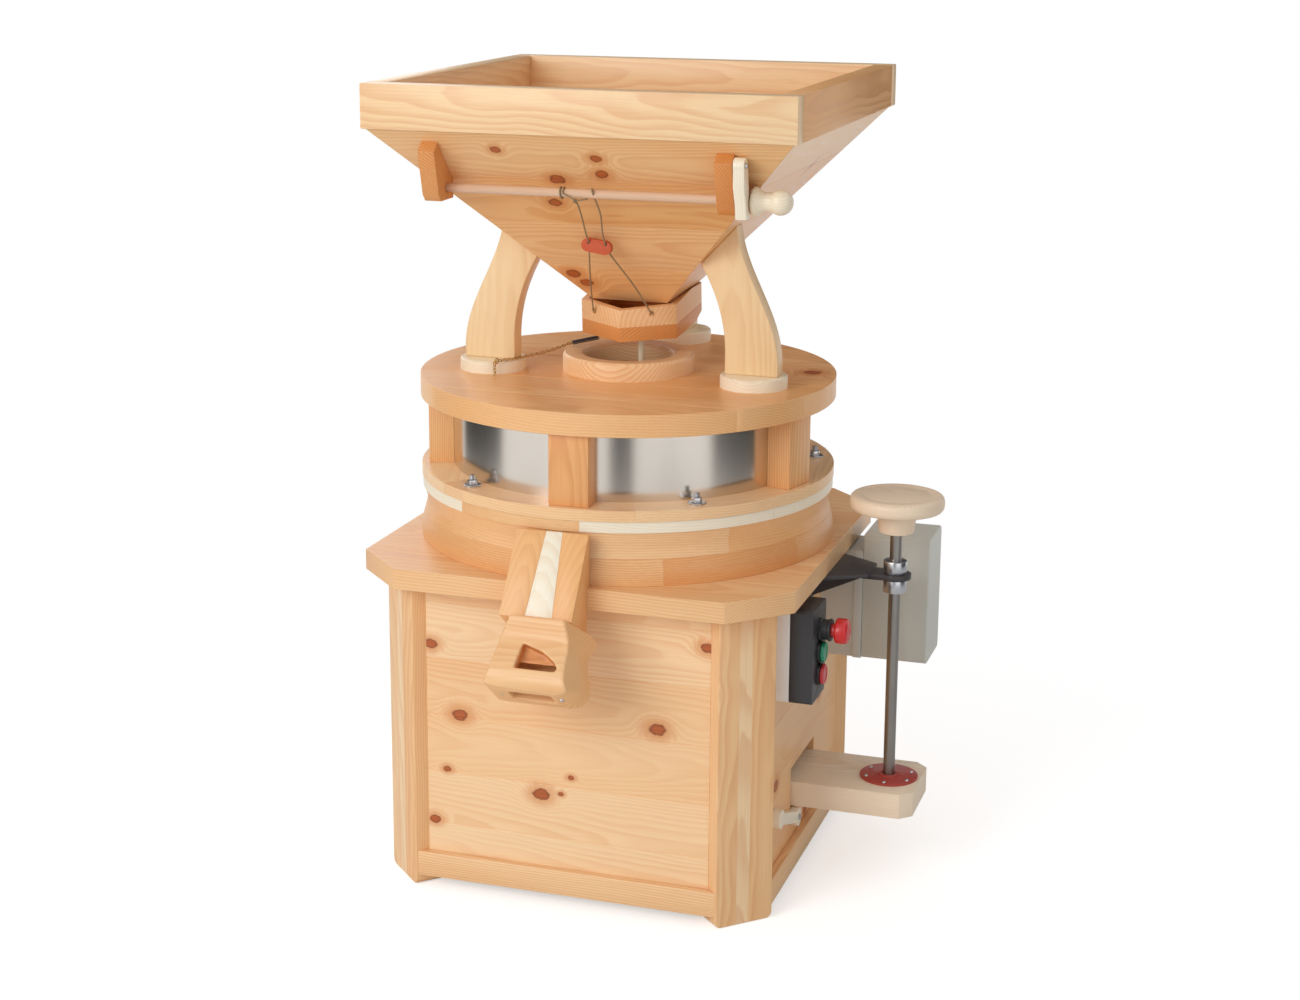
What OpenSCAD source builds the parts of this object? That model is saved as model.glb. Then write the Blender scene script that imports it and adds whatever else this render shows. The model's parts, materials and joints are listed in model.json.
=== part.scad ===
// Stone grain mill: a pine cabinet, a round stone housing, a hopper on three legs and a lever that
// sets the gap between the stones. The stone axis is X = Y = 0, the floor is Z = 0 and the spout
// faces -Y. Millimetres.

/* [Cabinet] */
// Side of the square table top
table_w = 600; // [596:1:604]
// Thickness of the table top
table_t = 28; // [26:1:30]
// Height of the underside of the table top above the floor
table_z = 430; // [426:1:434]
// Length cut off each table corner, along each side
table_chamfer = 73; // [70:1:76]
// Distance from the stone axis to the outer face of a side panel
panel_out = 260; // [258:1:262]
// Thickness of a side panel
panel_t = 18; // [16:1:20]
// Thickness of a corner post
post_t = 45; // [40:1:46]
// Thickness of the strip along the foot of a panel
rail_t = 12; // [10:1:13]
// Top of the foot strip above the floor
rail_top = 50; // [48:1:54]
// Gap between the floor and the panels
floor_gap = 15; // [12:1:18]

/* [Housing] */
// Outer radius of the housing wall
wall_r = 288; // [286:1:289]
// Height of the housing wall
wall_h = 70; // [68:1:72]
// Height of the collar that carries the steel band
collar_h = 30; // [28:1:32]
// Outer radius of the steel band
band_r = 243; // [241:1:245]
// Height of the steel band
band_h = 96; // [92:1:100]
// Thickness of the wooden lid
lid_t = 30; // [28:1:32]
// Outer radius of the inlet ring on the lid
inlet_r = 91; // [89:1:93]
// Radius of the inlet hole
inlet_hole_r = 61.5; // [60:0.5:63]

/* [Stones] */
// Radius of the millstones
stone_r = 200; // [196:1:202]
// Thickness of the bed stone
bed_t = 79; // [77:1:80]
// Thickness of the runner stone
runner_t = 75; // [70:1:78]
// Gap between the stones at the finest setting
stone_gap = 1.5; // [1:0.5:2]
// Radius of the main shaft
shaft_r = 15; // [14:0.5:16]

/* [Hopper] */
// Outer width of the square hopper rim
rim_w = 580; // [576:1:584]
// Height of the hopper rim boards
rim_h = 59; // [56:1:62]
// Thickness of the hopper rim boards
rim_t = 28; // [24:1:30]
// Underside of the hopper rim above the floor
rim_z = 1030; // [1028:1:1032]
// Half the outer width of the hopper outlet
outlet_half = 53.3; // [53:0.1:54]
// Thickness of the sloping hopper walls
hopper_t = 18; // [16:1:20]
// Thickness of the curved legs
leg_t = 28; // [26:1:30]

/* [Lever] */
// Width of the lever
lever_w = 128; // [124:1:130]
// Thickness of the lever
lever_t = 35; // [33:1:36]
// Distance from the stone axis to the lever's pivot
pivot_x = 222; // [220:1:223]
// Distance from the stone axis to the spindle
spindle_x = 383; // [381:1:385]
// Radius of the spindle
spindle_r = 8; // [7:0.5:8]
// Radius of the hand wheel
wheel_r = 64; // [60:1:66]

/* [Spout] */
// Width of the spout chute
chute_w = 98; // [96:1:100]
// Length of the spout head along its slope
head_len = 96; // [94:1:98]

/* [Hidden] */
$fn = 96;

pine = "#f0c48c";
pale_pine = "#f2dcb4";
orange_pine = "#e09a55";
beech = "#e3c7a0";
steel = "#b8bcc0";
dark_steel = "#4a4648";
stone_grey = "#b9b2a6";

run_gap = 0.05;          // radial clearance of a turning fit
past = 1;                // how far a cut runs past a face
glue_line = 0.1;         // hairline between glued boards
sqrt2 = sqrt(2);

// Heights, from the floor up
table_top_z = table_z + table_t;
collar_z = table_top_z + wall_h;
band_z = collar_z + collar_h;
lid_z = band_z + band_h;
lid_top_z = lid_z + lid_t;
inlet_h = 25;
pad_h = 17;
pad_top_z = lid_top_z + pad_h;

// Corner posts stand across the corners, at 45 degrees
post_w = 86;
post_out = 487 / sqrt2;                 // axis to outer face, along the diagonal
post_edge = (post_out + post_w / 2) / sqrt2;
post_near = (post_out - post_w / 2) / sqrt2;
panel_half = post_near - (post_edge - panel_out);
panel_in = panel_out - panel_t;
foot_round = 9;

// Lever and its slot
lever_z = 98;
lever_top = lever_z + lever_t;
lever_mid = lever_z + lever_t / 2;
lever_end = 427;
lever_nip = 16;
slot_half = 67;
slot_z0 = 88;
slot_z1 = 152;
pivot_pin_r = 6;
cheek_t = 18;
cheek_gap = 2;

// Spindle
spindle_z0 = 99;
hub_z = 485;
rim_wheel_z = 516;
rim_wheel_top = 538;
ring_z = 420;
ring_h = 7;
collar_r = 16;
flange_r = 40;
flange_t = 3;
spindle_play = 0.6;

// Spout: local frame of the head, w runs down its slope and v runs across it
head_y = -336;
head_z = 412.6;
head_turn = 38;                          // degrees the head leans out from straight down
head_x = 1;
passage_w = 70;
passage_d = 34;
slot_d = 28;                             // front to back size of the outlet slot
recess_floor = 20;                       // depth line of the finger recess, from the head's axis
facet_half = 37;                         // half width of the front facet at the top
chute_x0 = -54;
chute_wall = 12;
chute_top_y = -294;
chute_low_y = -362;
chute_low_z = 430;
chute_back_y = -300;
mouth_z0 = 470;
mouth_z1 = 520;

// Hopper, legs and feed gear
feed_x = 7.2;
hopper_y = 36.8;
outlet_z = 783;
hopper_slope = (rim_w / 2 - 5 - outlet_half) / (rim_z - outlet_z);
wall_across = hopper_t * sqrt(1 + hopper_slope * hopper_slope);
leg_y = -54;
leg_in_r = 150;
leg_out_r = 223;
leg_top_r = 164;
leg_bend_z = 715;
leg_bend_h = 197;
pad_r = 45.5;
rod_y = -203;
rod_z = 953;
rod_r = 6;
rod_x0 = -200;
bracket_x = 201.5;
bracket_t = 23;
pawl_x = 214;
pawl_t = 14;
pawl_pin_y = -236;
pawl_pin_z = 1001;
pawl_screw_in = 12;
flange_x = 229;

// Shoe
shoe_x = 5;
shoe_top_pitch = 8.4;                    // degrees its top edge rises to the rear
shoe_clear = 4;                          // gap to the hopper walls that reach into it
shoe_half = 68.4;
shoe_wall = 9;
shoe_tip_y = -52;
shoe_corner_y = -12;
shoe_rear_y = 109;
shoe_h = 45;
shoe_floor_t = 10;
shoe_pitch = 4.6;                        // degrees the shoe's floor rises to the rear
shoe_tip_z = 731;
hanger_y = 122;
hanger_z = 785;

// Boxes on the right side
switch_y = -139;
switch_w = 72;
switch_z0 = 288;
switch_h = 128;
switch_face_x = 312;
box_y = 130;
box_w = 90;
estop_z = 383;
start_z = 352;
stop_z = 321;

// Drive
pulley_z = 230;
pulley_h = 40;
driven_r = 140;
motor_pulley_r = 35;
motor_x = -150;
motor_y = 150;
motor_r = 70;
belt_t = 4;
belt_w = 22;
belt_gap = 0.8;
cup_z = lever_top;

bolt_angles = [-124, -52, 20, 92, 164];
block_angles = [-88, -16, 56, 128, 200];
bolt_circle = 262;

// Twine: from the rod, through the tab, to the shoe
twine_r = 1.1;
twine_left = [[-5, -203, 945.5], [-6, -199, 940], [-10, -172, 924], [-14, -140, 893],
    [-15, -122, 874], [-20, -108, 856], [-32, -68, 812], [-41, -31, 769]];
twine_right = [[19, -203, 945.5], [20, -199, 940], [17, -172, 924], [9.5, -140, 893],
    [8.5, -122, 872], [13, -108, 856], [30, -70, 814], [44, -34, 770]];
chain_r = 1.6;
chain_route = [[-156, -100, 704], [-138, -70, 703.5], [-112, -26, 706], [-93, 4, 711.5],
    [-88, 12, 713]];
spring_start = [-87, 13, 713];
spring_end = [-50, 18, 722];
spring_r = 3.2;

function hopper_half(z) = outlet_half + hopper_slope * (z - outlet_z);
function inner_half(z) = hopper_half(z) - wall_across;
function ease(t) = 0.5 - 0.5 * cos(180 * t);

// A round cord swept along a route
function unit(v) = v / norm(v);
function tangent(path, i) = unit(path[min(i + 1, len(path) - 1)] - path[max(i - 1, 0)]);
function side_of(t) = unit(cross(t, abs(t[2]) < 0.9 ? [0, 0, 1] : [0, 1, 0]));
function ring_at(p, t, r, sides) = [for (k = [0:sides - 1])
    p + r * cos(360 * k / sides) * side_of(t) + r * sin(360 * k / sides) * cross(side_of(t), t)];

module tube(path, r, sides = 8) {
    count = len(path);
    points = [for (i = [0:count - 1]) each ring_at(path[i], tangent(path, i), r, sides)];
    walls = [for (i = [0:count - 2]) for (k = [0:sides - 1])
        [i * sides + k, i * sides + (k + 1) % sides, (i + 1) * sides + (k + 1) % sides,
            (i + 1) * sides + k]];
    start = [[for (k = [sides - 1:-1:0]) k]];
    finish = [[for (k = [0:sides - 1]) (count - 1) * sides + k]];
    polyhedron(points = points, faces = concat(walls, start, finish));
}

module box(x, y, z) {
    translate([x[0], y[0], z[0]]) cube([x[1] - x[0], y[1] - y[0], z[1] - z[0]]);
}

module disc(r, z0, z1, x = 0, y = 0) {
    translate([x, y, z0]) cylinder(r = r, h = z1 - z0);
}

module ring(r_out, r_in, z0, z1, x = 0, y = 0) {
    difference() {
        disc(r_out, z0, z1, x, y);
        disc(r_in, z0 - past, z1 + past, x, y);
    }
}

// Rod along X or Y
module rod_along_x(r, x0, x1, y, z) {
    translate([x0, y, z]) rotate([0, 90, 0]) cylinder(r = r, h = x1 - x0);
}

module rod_along_y(r, y0, y1, x, z) {
    translate([x, y0, z]) rotate([-90, 0, 0]) cylinder(r = r, h = y1 - y0);
}

// A flat outline given as (y, z), as a slab between two values of x
module slab_yz(x0, x1) {
    translate([x0, 0, 0]) rotate([90, 0, 90]) linear_extrude(height = x1 - x0) children();
}

// A flat outline given as (x, z), as a slab between two values of y
module slab_xz(y0, y1) {
    translate([0, y1, 0]) rotate([90, 0, 0]) linear_extrude(height = y1 - y0) children();
}

module four_sides() {
    for (turn = [0:90:270]) rotate([0, 0, turn]) children();
}

// ---- Cabinet ----

module chamfered_square(w, cut) {
    half = w / 2;
    polygon([[-half + cut, -half], [half - cut, -half], [half, -half + cut], [half, half - cut],
        [half - cut, half], [-half + cut, half], [-half, half - cut], [-half, -half + cut]]);
}

module table_top() {
    color(pine) difference() {
        translate([0, 0, table_z]) linear_extrude(height = table_t)
            chamfered_square(table_w, table_chamfer);
        disc(30, table_z - past, table_top_z + past);
    }
}

module foot_outline() {
    half = post_w / 2;
    translate([-half, foot_round]) square([post_w, table_z - foot_round]);
    translate([-half + foot_round, 0]) square([post_w - 2 * foot_round, foot_round]);
    for (side = [-1, 1]) translate([side * (half - foot_round), foot_round]) circle(r = foot_round);
}

module corner_posts() {
    color(pine) for (turn = [45:90:315]) rotate([0, 0, turn])
        translate([0, -(post_out - post_t), 0]) rotate([90, 0, 0])
            linear_extrude(height = post_t) foot_outline();
}

// Plan of a panel that fills the space between two posts
module panel_plan() {
    polygon([[-panel_half, -panel_out], [panel_half, -panel_out],
        [panel_half - panel_t, -panel_in], [-panel_half + panel_t, -panel_in]]);
}

module panel() {
    translate([0, 0, floor_gap]) linear_extrude(height = table_z - floor_gap) panel_plan();
}

gland_x = 120;
gland_z = 90;

module plain_panels() {
    color(pine) {
        panel();
        difference() {
            rotate([0, 0, 180]) panel();
            rod_along_y(10, panel_in - past, panel_out + past, gland_x, gland_z);
        }
        rotate([0, 0, -90]) panel();
    }
}

module right_panel() {
    color(pine) difference() {
        rotate([0, 0, 90]) panel();
        box([panel_in - past, panel_out + past], [-slot_half, slot_half], [slot_z0, slot_z1]);
        rod_along_x(8, panel_in - past, panel_out + past, switch_y, switch_z0 + 40);
        rod_along_x(12, panel_in - past, panel_out + past, box_y, 340);
        rod_along_x(screw_hole_r, panel_out - catch_screw_in - run_gap, panel_out + past,
            catch_y, catch_z);
    }
}

module base_rails() {
    color(orange_pine) four_sides() translate([0, 0, floor_gap])
        linear_extrude(height = rail_top - floor_gap)
            polygon([[-panel_half - rail_t, -panel_out - rail_t],
                [panel_half + rail_t, -panel_out - rail_t], [panel_half, -panel_out],
                [-panel_half, -panel_out]]);
}

// Dog-bone catch on the right side, turning on one screw
catch_t = 12;
catch_y = -62;
catch_z = 82;
catch_reach = 104;
catch_rise = 19.6;
catch_lobe_r = 13;
catch_screw_in = 14;                     // depth of the screw in the panel
screw_hole_r = 2.5;

module catch_outline() {
    circle(r = catch_lobe_r);
    translate([-catch_reach, 0]) circle(r = catch_lobe_r);
    translate([-catch_reach, -8]) square([catch_reach, 16]);
}

module turn_button() {
    color(pale_pine) difference() {
        translate([0, catch_y, catch_z]) rotate([-catch_rise, 0, 0])
            slab_yz(panel_out + 0.3, panel_out + catch_t) catch_outline();
        rod_along_x(screw_hole_r, panel_out - past, panel_out + catch_t + past, catch_y, catch_z);
    }
}

module round_head_screw(r, length, head_r) {
    cylinder(r = r, h = length);
    translate([0, 0, length]) cylinder(r1 = head_r, r2 = head_r * 0.6, h = 2);
}

module wood_screws() {
    color(steel) {
        translate([panel_out - catch_screw_in, catch_y, catch_z]) rotate([0, 90, 0])
            round_head_screw(screw_hole_r - run_gap, catch_screw_in + catch_t + 0.1, 5);
        translate([pawl_x - pawl_screw_in, pawl_pin_y, pawl_pin_z]) rotate([0, 90, 0])
            round_head_screw(screw_hole_r - run_gap, pawl_screw_in + pawl_t + 0.4, 4);
    }
}

module cable_gland() {
    color("#2b2b2d") difference() {
        union() {
            rod_along_y(9.9, panel_in - 12, panel_out, gland_x, gland_z);
            rod_along_y(14, panel_out, panel_out + 5, gland_x, gland_z);
            rod_along_y(11, panel_out, panel_out + 16, gland_x, gland_z);
            rod_along_y(13, panel_in - 12, panel_in, gland_x, gland_z);
        }
        rod_along_y(4.5, panel_in - 13, panel_out + 17, gland_x, gland_z);
    }
}

// ---- Lever and hand wheel ----

module lever_plan() {
    half = lever_w / 2;
    polygon([[-pivot_x, -half], [lever_end - lever_nip, -half], [lever_end, -half + lever_nip],
        [lever_end, half - lever_nip], [lever_end - lever_nip, half], [-pivot_x, half]]);
}

module lever_arm() {
    color(beech) difference() {
        union() {
            translate([0, 0, lever_z]) linear_extrude(height = lever_t) lever_plan();
            rod_along_y(lever_t / 2, -lever_w / 2, lever_w / 2, -pivot_x, lever_mid);
        }
        rod_along_y(pivot_pin_r + run_gap, -lever_w, lever_w, -pivot_x, lever_mid);
        disc(spindle_r + 2, lever_z - past, lever_top + past, spindle_x);
    }
}

module pivot_block() {
    half = lever_w / 2 + cheek_gap;
    color(dark_steel) difference() {
        union() {
            box([-panel_in, -panel_in + 2], [-half - cheek_t - 20, half + cheek_t + 20], [60, 170]);
            for (side = [-1, 1]) translate([0, side * (half + cheek_t / 2), 0])
                box([-panel_in, -pivot_x + 20], [-cheek_t / 2, cheek_t / 2], [lever_mid - 22,
                    lever_mid + 22]);
        }
        rod_along_y(pivot_pin_r, -lever_w, lever_w, -pivot_x, lever_mid);
    }
}

module pivot_pin() {
    reach = lever_w / 2 + cheek_gap + cheek_t + 3;
    color(steel) rod_along_y(pivot_pin_r, -reach, reach, -pivot_x, lever_mid);
}

module flange_nut() {
    color("#b5483c") difference() {
        union() {
            disc(flange_r, lever_top, lever_top + flange_t, spindle_x);
            disc(15, lever_top, lever_top + 5, spindle_x);
        }
        disc(spindle_r + spindle_play, lever_top - past, lever_top + 6, spindle_x);
    }
}

// Socket that the shaft's foot stands in, with a ball under it
ball_r = 8;
ball_gap = 0.2;
cup_h = 24;
cup_floor = 8;
shaft_foot_z = cup_z + ball_gap + ball_r + cup_floor;

module footstep_cup() {
    color(steel) difference() {
        union() {
            translate([0, 0, cup_z + ball_gap + ball_r]) sphere(r = ball_r);
            disc(26, cup_z + ball_gap + ball_r, cup_z + ball_gap + ball_r + cup_h);
        }
        disc(shaft_r + run_gap, shaft_foot_z, cup_z + cup_h + 20);
    }
}

module spindle() {
    color(steel) union() {
        disc(spindle_r, spindle_z0, 500, spindle_x);
        disc(spindle_r - 2, 499, rim_wheel_top - 6, spindle_x);
    }
}

wheel_hub_r = 29;
module hand_wheel() {
    edge = 8;
    color(beech) translate([spindle_x, 0, 0]) difference() {
        rotate_extrude() polygon([[0, hub_z], [24, hub_z], [wheel_hub_r, rim_wheel_z - 3],
            [wheel_r - edge, rim_wheel_z], [wheel_r, rim_wheel_z + edge],
            [wheel_r, rim_wheel_top - edge], [wheel_r - edge, rim_wheel_top],
            [0, rim_wheel_top]]);
        disc(spindle_r, hub_z - past, 500);
        disc(spindle_r - 2, 499, rim_wheel_top - 6);
    }
}

module spindle_collars() {
    low = [ring_z - 19, ring_z - 0.3];
    high = [ring_z + ring_h + 0.3, ring_z + ring_h + 18];
    color(steel) for (span = [low, high]) ring(collar_r, spindle_r, span[0], span[1], spindle_x);
}

module spindle_bracket() {
    plate_z = table_z - 5;
    reach = 352;
    color(dark_steel) difference() {
        union() {
            translate([0, 0, plate_z]) linear_extrude(height = table_z - plate_z)
                polygon([[panel_out, -68], [302, -58], [reach, -28], [reach, 28], [302, 58],
                    [panel_out, 68]]);
            translate([0, 0, ring_z]) linear_extrude(height = ring_h) union() {
                translate([spindle_x, 0]) circle(r = 22);
                polygon([[reach - 12, -19], [spindle_x, -19], [spindle_x, 19], [reach - 12, 19]]);
            }
            slab_xz(-3, 3) polygon([[panel_out + 2, 385], [panel_out + 11, 385],
                [reach - 4, ring_z + 1], [reach - 4, plate_z + 2], [panel_out + 2, plate_z + 2]]);
            box([panel_out, panel_out + 4], [-40, 40], [374, plate_z + 2]);
        }
        disc(spindle_r + run_gap, ring_z - past, table_z + past, spindle_x);
    }
}

// ---- Switch box and control box ----

module rounded_rect(w, h, r) {
    square([w - 2 * r, h], center = true);
    square([w, h - 2 * r], center = true);
    for (x = [-1, 1]) for (y = [-1, 1]) translate([x * (w / 2 - r), y * (h / 2 - r)]) circle(r = r);
}

// Box standing off the right side, from x0 to x1
module side_box(x0, x1, y, z, w, h, r = 5) {
    translate([x0, y, z]) rotate([90, 0, 90]) linear_extrude(height = x1 - x0)
        rounded_rect(w, h, r);
}

switch_mid_z = switch_z0 + switch_h / 2;
split_x = 281;
well_r = 15;
cap_r = 14.5;

module switch_base() {
    color("#c9c8c2") difference() {
        side_box(panel_out, split_x, switch_y, switch_mid_z, switch_w, switch_h);
        side_box(panel_out + 4, split_x + past, switch_y, switch_mid_z, switch_w - 8, switch_h - 8, 2);
        rod_along_x(8, panel_out - past, panel_out + 6, switch_y, switch_z0 + 40);
    }
}

module switch_cover() {
    color("#3a3a3c") difference() {
        side_box(split_x, switch_face_x, switch_y, switch_mid_z, switch_w, switch_h);
        side_box(split_x - past, switch_face_x - 4, switch_y, switch_mid_z, switch_w - 8,
            switch_h - 8, 2);
        rod_along_x(11, split_x, switch_face_x + past, switch_y, estop_z);
        for (z = [start_z, stop_z]) rod_along_x(11, split_x, switch_face_x + past, switch_y, z);
    }
}

module estop_collar() {
    color("#2b2b2d") difference() {
        rod_along_x(well_r, switch_face_x, switch_face_x + 17, switch_y, estop_z);
        rod_along_x(9, switch_face_x - past, switch_face_x + 18, switch_y, estop_z);
    }
}

module estop_button() {
    color("#d8262c") {
        rod_along_x(17, switch_face_x + 22.5, switch_face_x + 40, switch_y, estop_z);
        rod_along_x(8.9, switch_face_x - 14, switch_face_x + 23, switch_y, estop_z);
    }
}

module push_button(z) {
    rod_along_x(cap_r, switch_face_x + 4, switch_face_x + 9.5, switch_y, z);
    rod_along_x(10.9, switch_face_x - 14, switch_face_x + 5, switch_y, z);
}

module start_button() {
    color("#1f9a6d") push_button(start_z);
}

module stop_button() {
    color("#cf2a34") push_button(stop_z);
}

hood_x0 = 320;
hood_x1 = 414;
box_z0 = 270;
box_base_top = 426;
box_hood_top = 452;

module control_box_base() {
    color("#c9c9bf") union() {
        side_box(panel_out, 309, box_y, (box_z0 + box_base_top) / 2, box_w, box_base_top - box_z0, 6);
        side_box(308, hood_x0, box_y, (box_z0 + box_base_top) / 2, box_w + 4,
            box_base_top - box_z0 + 2, 7);
    }
}

module control_box_hood() {
    mid = (box_z0 + box_hood_top) / 2;
    tall = box_hood_top - box_z0;
    color("#d0d0c6") difference() {
        side_box(hood_x0, hood_x1, box_y, mid, box_w, tall, 8);
        side_box(hood_x0 - past, hood_x1 - 4, box_y, mid, box_w - 8, tall - 8, 5);
    }
}

// ---- Stone housing ----

wall_in_r = 235;

module drum_wall() {
    waist = wall_r - 8;
    steps = 8;
    color(orange_pine) difference() {
        rotate_extrude() polygon(concat([[wall_in_r, table_top_z], [wall_r, table_top_z],
            [wall_r, table_top_z + 10]],
            [for (i = [1:steps]) [wall_r - 8 * ease(i / steps),
                table_top_z + 10 + (wall_h - 28) * i / steps]],
            [[waist + 4, collar_z], [wall_in_r, collar_z]]));
        box([chute_x0 + chute_wall + 4, chute_x0 + chute_w - chute_wall - 1], [-wall_r - 5, -wall_in_r + 20],
            [mouth_z0, mouth_z1]);
    }
}

module collar_ring() {
    color(pale_pine) difference() {
        rotate_extrude() polygon([[band_r - 5, collar_z], [wall_r - 2, collar_z],
            [wall_r - 2, collar_z + collar_h / 2], [wall_r - 1, collar_z + collar_h / 2],
            [wall_r - 1, band_z], [band_r - 5, band_z]]);
        for (a = bolt_angles) rotate([0, 0, a]) disc(4, collar_z - past, band_z + past, bolt_circle);
    }
}

module steel_band() {
    color(steel) ring(band_r, band_r - 1.5, band_z, lid_z);
}

module spacer_blocks() {
    color(pine) for (a = block_angles) rotate([0, 0, a]) difference() {
        box([band_r - 5, band_r + 33], [-27, 27], [band_z, lid_z]);
        disc(band_r, band_z - past, lid_z + past);
    }
}

module housing_bolts() {
    color(steel) for (a = bolt_angles) rotate([0, 0, a]) {
        disc(3.95, collar_z + 2, band_z + 15, bolt_circle);
        disc(12, band_z, band_z + 2, bolt_circle);
        translate([bolt_circle, 0, band_z + 2]) cylinder(r = 7.5, h = 6.5, $fn = 6);
    }
}

module drum_lid() {
    color(pine) ring(wall_r - 0.5, inlet_hole_r, lid_z, lid_top_z);
}

module inlet_ring() {
    color(pine) ring(inlet_r, inlet_hole_r, lid_top_z, lid_top_z + inlet_h);
}

// ---- Stones and shaft ----

eye_r = 45;
bed_top = table_top_z + bed_t;
runner_z = bed_top + stone_gap;
runner_top = runner_z + runner_t;
rynd_z = runner_top - 26;
damsel_r = 13;
hoop_t = 3;

module bed_stone() {
    color(stone_grey) ring(stone_r, eye_r, table_top_z, bed_top);
}

module neck_bearing() {
    color(dark_steel) difference() {
        union() {
            disc(eye_r - 0.2, table_top_z, table_top_z + 34);
            disc(29.8, table_z - 20, table_top_z);
        }
        disc(shaft_r + run_gap, table_z - 21, table_top_z + 35);
    }
}

module runner_stone() {
    color(stone_grey) difference() {
        union() {
            ring(stone_r, eye_r, runner_z, runner_top);
            ring(80, eye_r, runner_top, runner_top + 6);
        }
        rotate([0, 0, 30]) box([-60, 60], [-15, 15], [rynd_z, runner_top + 10]);
    }
}

module rynd() {
    color(dark_steel) union() {
        rotate([0, 0, 30]) box([-60, 60], [-15, 15], [rynd_z, rynd_z + 12]);
        disc(24, rynd_z, rynd_z + 20);
        translate([0, 0, rynd_z + 20]) linear_extrude(height = 693 - rynd_z - 20)
            intersection() {
                square([2 * damsel_r - 6, 2 * damsel_r - 6], center = true);
                circle(r = damsel_r);
            }
    }
}

module main_shaft() {
    color(steel) disc(shaft_r, shaft_foot_z, rynd_z);
}

module sweeper() {
    blade_in = stone_r + hoop_t;
    color(steel) union() {
        ring(stone_r + hoop_t, stone_r, runner_z + 8, runner_z + 40);
        for (turn = [0, 180]) rotate([0, 0, turn])
            box([blade_in - 0.5, wall_in_r - 5], [-2, 2], [table_top_z + 3, runner_z + 36]);
    }
}

module driven_pulley() {
    color("#8f9498") difference() {
        union() {
            ring(driven_r, driven_r - 10, pulley_z, pulley_z + pulley_h);
            disc(driven_r - 9, pulley_z + 15, pulley_z + 25);
            disc(34, pulley_z, pulley_z + pulley_h);
        }
        disc(shaft_r, pulley_z - past, pulley_z + pulley_h + past);
        for (turn = [0:60:300]) rotate([0, 0, turn]) disc(24, pulley_z, pulley_z + pulley_h, 84);
    }
}

// ---- Motor and belt ----

motor_z0 = 300;
motor_z1 = 412;
motor_shaft_r = 9.5;
motor_plate_r = 82;

module motor_housing() {
    color("#7d868c") difference() {
        translate([motor_x, motor_y, 0]) union() {
            disc(motor_r, motor_z0, motor_z1);
            disc(motor_r - 22, motor_z0 - 10, motor_z0);
            disc(motor_plate_r, motor_z1, table_z);
            for (turn = [0:20:340]) rotate([0, 0, turn])
                box([motor_r - 2, motor_r + 5], [-1.5, 1.5], [motor_z0 + 10, motor_z1]);
        }
        disc(motor_shaft_r + run_gap, motor_z0 - 11, motor_z0 + 60, motor_x, motor_y);
    }
}

module motor_shaft() {
    color(steel) disc(motor_shaft_r, pulley_z - 4, motor_z0 + 55, motor_x, motor_y);
}

module motor_pulley() {
    color("#8f9498") difference() {
        union() {
            disc(motor_pulley_r, pulley_z, pulley_z + pulley_h, motor_x, motor_y);
            for (z = [pulley_z, pulley_z + pulley_h - 3])
                disc(motor_pulley_r + 7, z, z + 3, motor_x, motor_y);
        }
        disc(motor_shaft_r, pulley_z - past, pulley_z + pulley_h + past, motor_x, motor_y);
    }
}

belt_centres = norm([motor_x, motor_y]);
belt_angle = atan2(motor_y, motor_x);

// Outline of a loop round both pulleys, "out" beyond their rims, as two arcs of points
function belt_loop(out, lean) = concat(
    [for (i = [0:30]) (driven_r + out) * [cos(lean + (360 - 2 * lean) * i / 30),
        sin(lean + (360 - 2 * lean) * i / 30)]],
    [for (i = [0:16]) [belt_centres, 0] + (motor_pulley_r + out)
        * [cos(-lean + 2 * lean * i / 16), sin(-lean + 2 * lean * i / 16)]]);

module drive_belt() {
    lean = acos((driven_r - motor_pulley_r) / belt_centres);
    color("#222222") rotate([0, 0, belt_angle])
        translate([0, 0, pulley_z + (pulley_h - belt_w) / 2]) linear_extrude(height = belt_w)
            difference() {
                polygon(belt_loop(belt_gap + belt_t, lean));
                polygon(belt_loop(belt_gap, lean));
            }
}

// ---- Spout ----

// Side view of the chute, as (y, z)
module chute_side(inset) {
    lift = inset * 0.55;
    polygon([[chute_top_y - 0.4 + inset * 1.24, collar_z + lift],
        [chute_low_y + inset * 1.24, chute_low_z],
        [chute_back_y - (chute_back_y - chute_low_y) * 0.02, chute_low_z - 50],
        [chute_back_y - 0.5, table_z], [chute_back_y - 0.5, table_top_z],
        [chute_back_y + 9, table_top_z], [chute_back_y + 9, collar_z + lift]]);
}

module spout_chute() {
    chute_x1 = chute_x0 + chute_w;
    color(pine) difference() {
        slab_yz(chute_x0, chute_x1) chute_side(0);
        disc(wall_r + 0.3, table_top_z - past, collar_z + past);
        slab_yz(chute_x0 + chute_wall, chute_x1 - chute_wall) polygon([
            [chute_top_y + 12, collar_z - 12], [chute_low_y + 15, chute_low_z - past],
            [chute_low_y + 15, chute_low_z - 60], [chute_back_y + past, chute_low_z - 60],
            [chute_back_y + past, table_top_z], [chute_back_y + 30, table_top_z],
            [chute_back_y + 30, collar_z - 12]]);
        head_frame() translate([-90, -70, 0]) cube([180, 140, 60]);
    }
}

// Places children in the head's frame: X across, Y up its back slope, Z down its length
module head_frame() {
    translate([head_x, head_y, head_z]) rotate([180 - head_turn, 0, 0]) children();
}

// Half width of the head at a share t of its length, and half depth
function bell(t, top, waist, low) =
    t < 0.3 ? top + (waist - top) * ease(t / 0.3)
    : t < 0.75 ? waist + (low - waist) * ease((t - 0.3) / 0.45)
    : low - (low * 0.4) * (1 - sqrt(max(0, 1 - pow((t - 0.75) / 0.25, 2))));

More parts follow.
